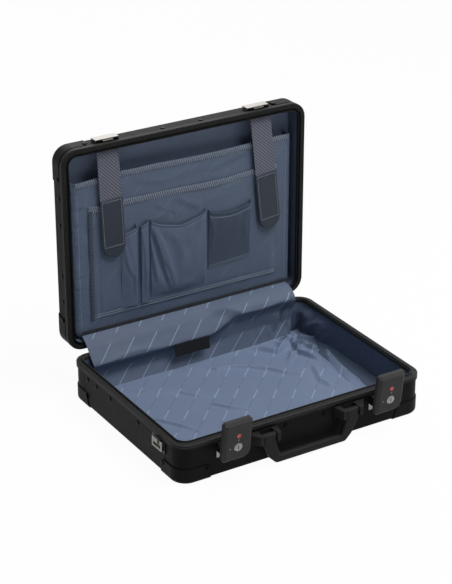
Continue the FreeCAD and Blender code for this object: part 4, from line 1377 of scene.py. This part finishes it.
def card_stand(x, z, s, t):
    """How far the card pocket stands out, most at its mouth."""
    out = card_side + card_swell * np.sin(np.pi * s) ** swell_power
    out = card_rise + out * smooth(t * card_mouth_fades) ** card_mouth_power
    out += folds(x, z, card_folds) + ripple(x, z, card_ripples)
    out *= smooth(np.minimum(s, 1 - s) * small_side_fades) * eased(t * card_foot_fades, small_foot_share)
    return small_stand(out, card_most, t)


def card_pocket():
    """The flat card pocket, stitched along its foot, with a hem that turns up at its right end."""
    ends = card_ends
    # Its cloth is darkened with painted shade
    piece, front = panel("card_pocket_cloth", ends, card_foot, card_hem, card_stand, card_cells,
                         soft["card_pocket"], file_low[1] + small_plane, card_slope)
    dress(piece, "lid", "pocket_cloth", "card_pocket")
    lines = [edge_run(front, share, inset) for share, inset in card_seams]
    seam = sew("card_stitches", lines, small_seam, "thread_blue")


# Straps and tabs


def strap(side, place, drop, lean):
    """A webbing strap with slanting ribs, bowed a little as it hangs, and the leather tab on its end."""
    low, high = span(side + "_strap")
    back = span(side + "_strap_tab")[1][1] - tab_thick
    sine, cosine = math.sin(math.radians(lean)), math.cos(math.radians(lean))

    def hung(off, run, y, square=1.0):
        """Points at a distance off the strap's middle line and a length down it."""
        x = place + off * cosine + run * sine
        return np.stack(np.broadcast_arrays(x, y, high[2] + off * sine * square - run * cosine), -1)

    s, t = grid(*strap_cells)
    run = (1 - t) * drop
    off = (s - 0.5) * strap_width
    ribs = strap_rib * np.sin(2 * np.pi * (off * twill_slant + drop - run) / twill_pitch)
    ribs *= smooth((0.5 - np.abs(s - 0.5)) * strap_width / selvedge)
    y = low[1] + strap_stand - strap_bow * np.sin(np.pi * np.clip(run / drop, 0, 1)) - ribs
    front = hung(off, run, y, np.clip(run / strap_square, 0, 1))
    flat = np.stack([off, drop - run], -1)
    piece = cloth(side + "_strap_webbing", front, flat, strap_thick, soft["webbing"])
    dress(piece, side + "_strap", "webbing", side + "_strap")

    columns, rows = tab_cells
    straight = tab_length - tab_radius
    turn = np.linspace(0, 1, rows)[::-1]
    bend = (turn - tab_straight_share) / (1 - tab_straight_share) * np.pi / 2 * tab_end_share
    along = np.where(turn < tab_straight_share, turn / tab_straight_share * straight,
                     straight + tab_radius * np.sin(bend))
    half = np.sqrt(tab_radius ** 2 - np.clip(along - straight, 0, tab_radius) ** 2)
    from_top = np.maximum(tab_corner - along, 0)
    half = np.minimum(half, tab_radius - rounded_half(from_top, tab_corner, tab_corner))[:, None]
    along = np.repeat(along[:, None], columns, 1)
    off = half * np.sin(np.linspace(-np.pi / 2, np.pi / 2, columns))
    edge = np.minimum(half - np.abs(off), np.minimum(along, tab_length - along))
    y = back - tab_crown * (1 - np.exp(-np.maximum(edge, 0) / tab_edge))
    y += tab_groove * bell((edge - tab_seam_inset) / tab_edge)
    front = hung(off, drop - tab_overlap + along, y)
    tab = cloth(side + "_tab_leather", front, np.stack([off, along], -1), tab_thick, soft["leather"])
    dress(tab, side + "_strap", "tab_leather", side + "_strap_tab")

    reach = tab_radius - tab_seam_inset
    foot = straight + tab_seam_foot
    top_left, top_right = (-reach, tab_seam_inset), (reach, tab_seam_inset)
    foot_left, foot_right = (-reach, foot), (reach, foot)
    lines = []
    pairs = ((top_left, top_right), (top_left, foot_left), (top_right, foot_right), (foot_left, foot_right))
    for pair in pairs:
        off, along = np.array(pair).T
        lines.append(hung(off, drop - tab_overlap + along, back - tab_crown))
    sew(side + "_tab_stitches", lines, tab_seam, "thread", side + "_strap", "tab_leather")


# Small plain marks beside each lock


def lock_dots(side):
    """Two small raised dots on the lock plate, one above the lock and one left of it."""
    low, high = span(side + "_lock_lamp")
    tilt = math.radians(lock_tilt)
    across = np.array([1, 0, 0])
    out = np.array([0, -math.cos(tilt), -math.sin(tilt)])
    up = np.array([0, -math.sin(tilt), math.cos(tilt)])
    points = []
    faces = []
    for right, rise in dot_places:
        centre = (low + high) / 2 + out * dot_face + across * right + up * rise
        first = len(points)
        points.append(centre + out * dot_height)
        for radius, height in dot_rings:
            for turn in np.linspace(0, 2 * np.pi, dot_sides, endpoint=False):
                place = across * (math.cos(turn) * radius) + up * (math.sin(turn) * radius)
                points.append(centre + place + out * height)
        inner = first + 1
        outer = inner + dot_sides
        for index in range(dot_sides):
            after = (index + 1) % dot_sides
            faces.append((first, inner + index, inner + after))
            faces.append((inner + index, outer + index, outer + after, inner + after))
        faces.append(tuple(outer + index for index in reversed(range(dot_sides))))
    dress(new_piece(side + "_lock_dots", points, faces, dot_grey), side + "_lock", "lock_black")


# Floor, light and camera


def link(name, data, place=(0, 0, 0), aim=None):
    """A new object in the scene, pointed at a place where one is given."""
    piece = bpy.data.objects.new(name, data)
    piece.location = place
    if aim is not None:
        piece.rotation_euler = (Vector(aim) - Vector(place)).to_track_quat("-Z", "Y").to_euler()
    bpy.context.scene.collection.objects.link(piece)
    return piece


def studio():
    """A pale floor that shows white apart from the case's shadow, before a white background."""
    mesh = bpy.data.meshes.new("studio_floor")
    corners = [(x * floor_half, y * floor_half, 0) for x, y in ((-1, -1), (1, -1), (1, 1), (-1, 1))]
    mesh.from_pydata(corners, [], [(0, 1, 2, 3)])
    link("studio_floor", mesh)
    graph = new_graph("studio_floor")
    graph.set(Base_Color=floor_colour, Roughness=0.9, Specular_IOR_Level=0.1)
    glow = graph.add("Emission", Color=white, Strength=1.0).outputs[0]
    share = graph.times(graph.shown(), floor_glow_share)
    blend = graph.add("MixShader", input_0=share, input_1=graph.shader.outputs[0], input_2=glow)
    graph.put(graph.tree.nodes["Material Output"].inputs[0], blend.outputs[0])
    mesh.materials.append(graph.owner)

    world = bpy.data.worlds.new("studio")
    bpy.context.scene.world = world
    graph = Graph(world)
    graph.tree.nodes.clear()
    ambient = graph.add("Background", Color=ambient_colour, Strength=ambient_strength).outputs[0]
    backdrop = graph.add("Background", Color=white, Strength=1.0).outputs[0]
    blend = graph.add("MixShader", input_0=graph.shown(), input_1=ambient, input_2=backdrop)
    graph.add("OutputWorld", input_0=blend.outputs[0])


def lamp(name, place, aim, size, power):
    """A soft square lamp, pointed at a place."""
    data = bpy.data.lights.new(name, "AREA")
    data.shape = "SQUARE"
    data.size = size
    data.energy = power
    link(name, data, place, aim)


def camera():
    """The photograph's view."""
    data = bpy.data.cameras.new("camera")
    data.lens = camera_lens
    data.sensor_width = camera_sensor
    data.sensor_fit = "AUTO"
    bpy.context.scene.camera = link("camera", data, camera_eye, camera_aim)


floor_lining()
base_wall_lining()
gusset()
label()
lid_lining()
lid_wall_lining()
document_pocket()
file_pocket()
organiser_binding()
pen_pockets()
notebook_pocket()
card_pocket()
for row in straps:
    strap(*row)
for side in ("left", "right"):
    lock_dots(side)
studio()
for row in lamps:
    lamp(*row)
camera()
bpy.context.scene.view_settings.view_transform = "Standard"
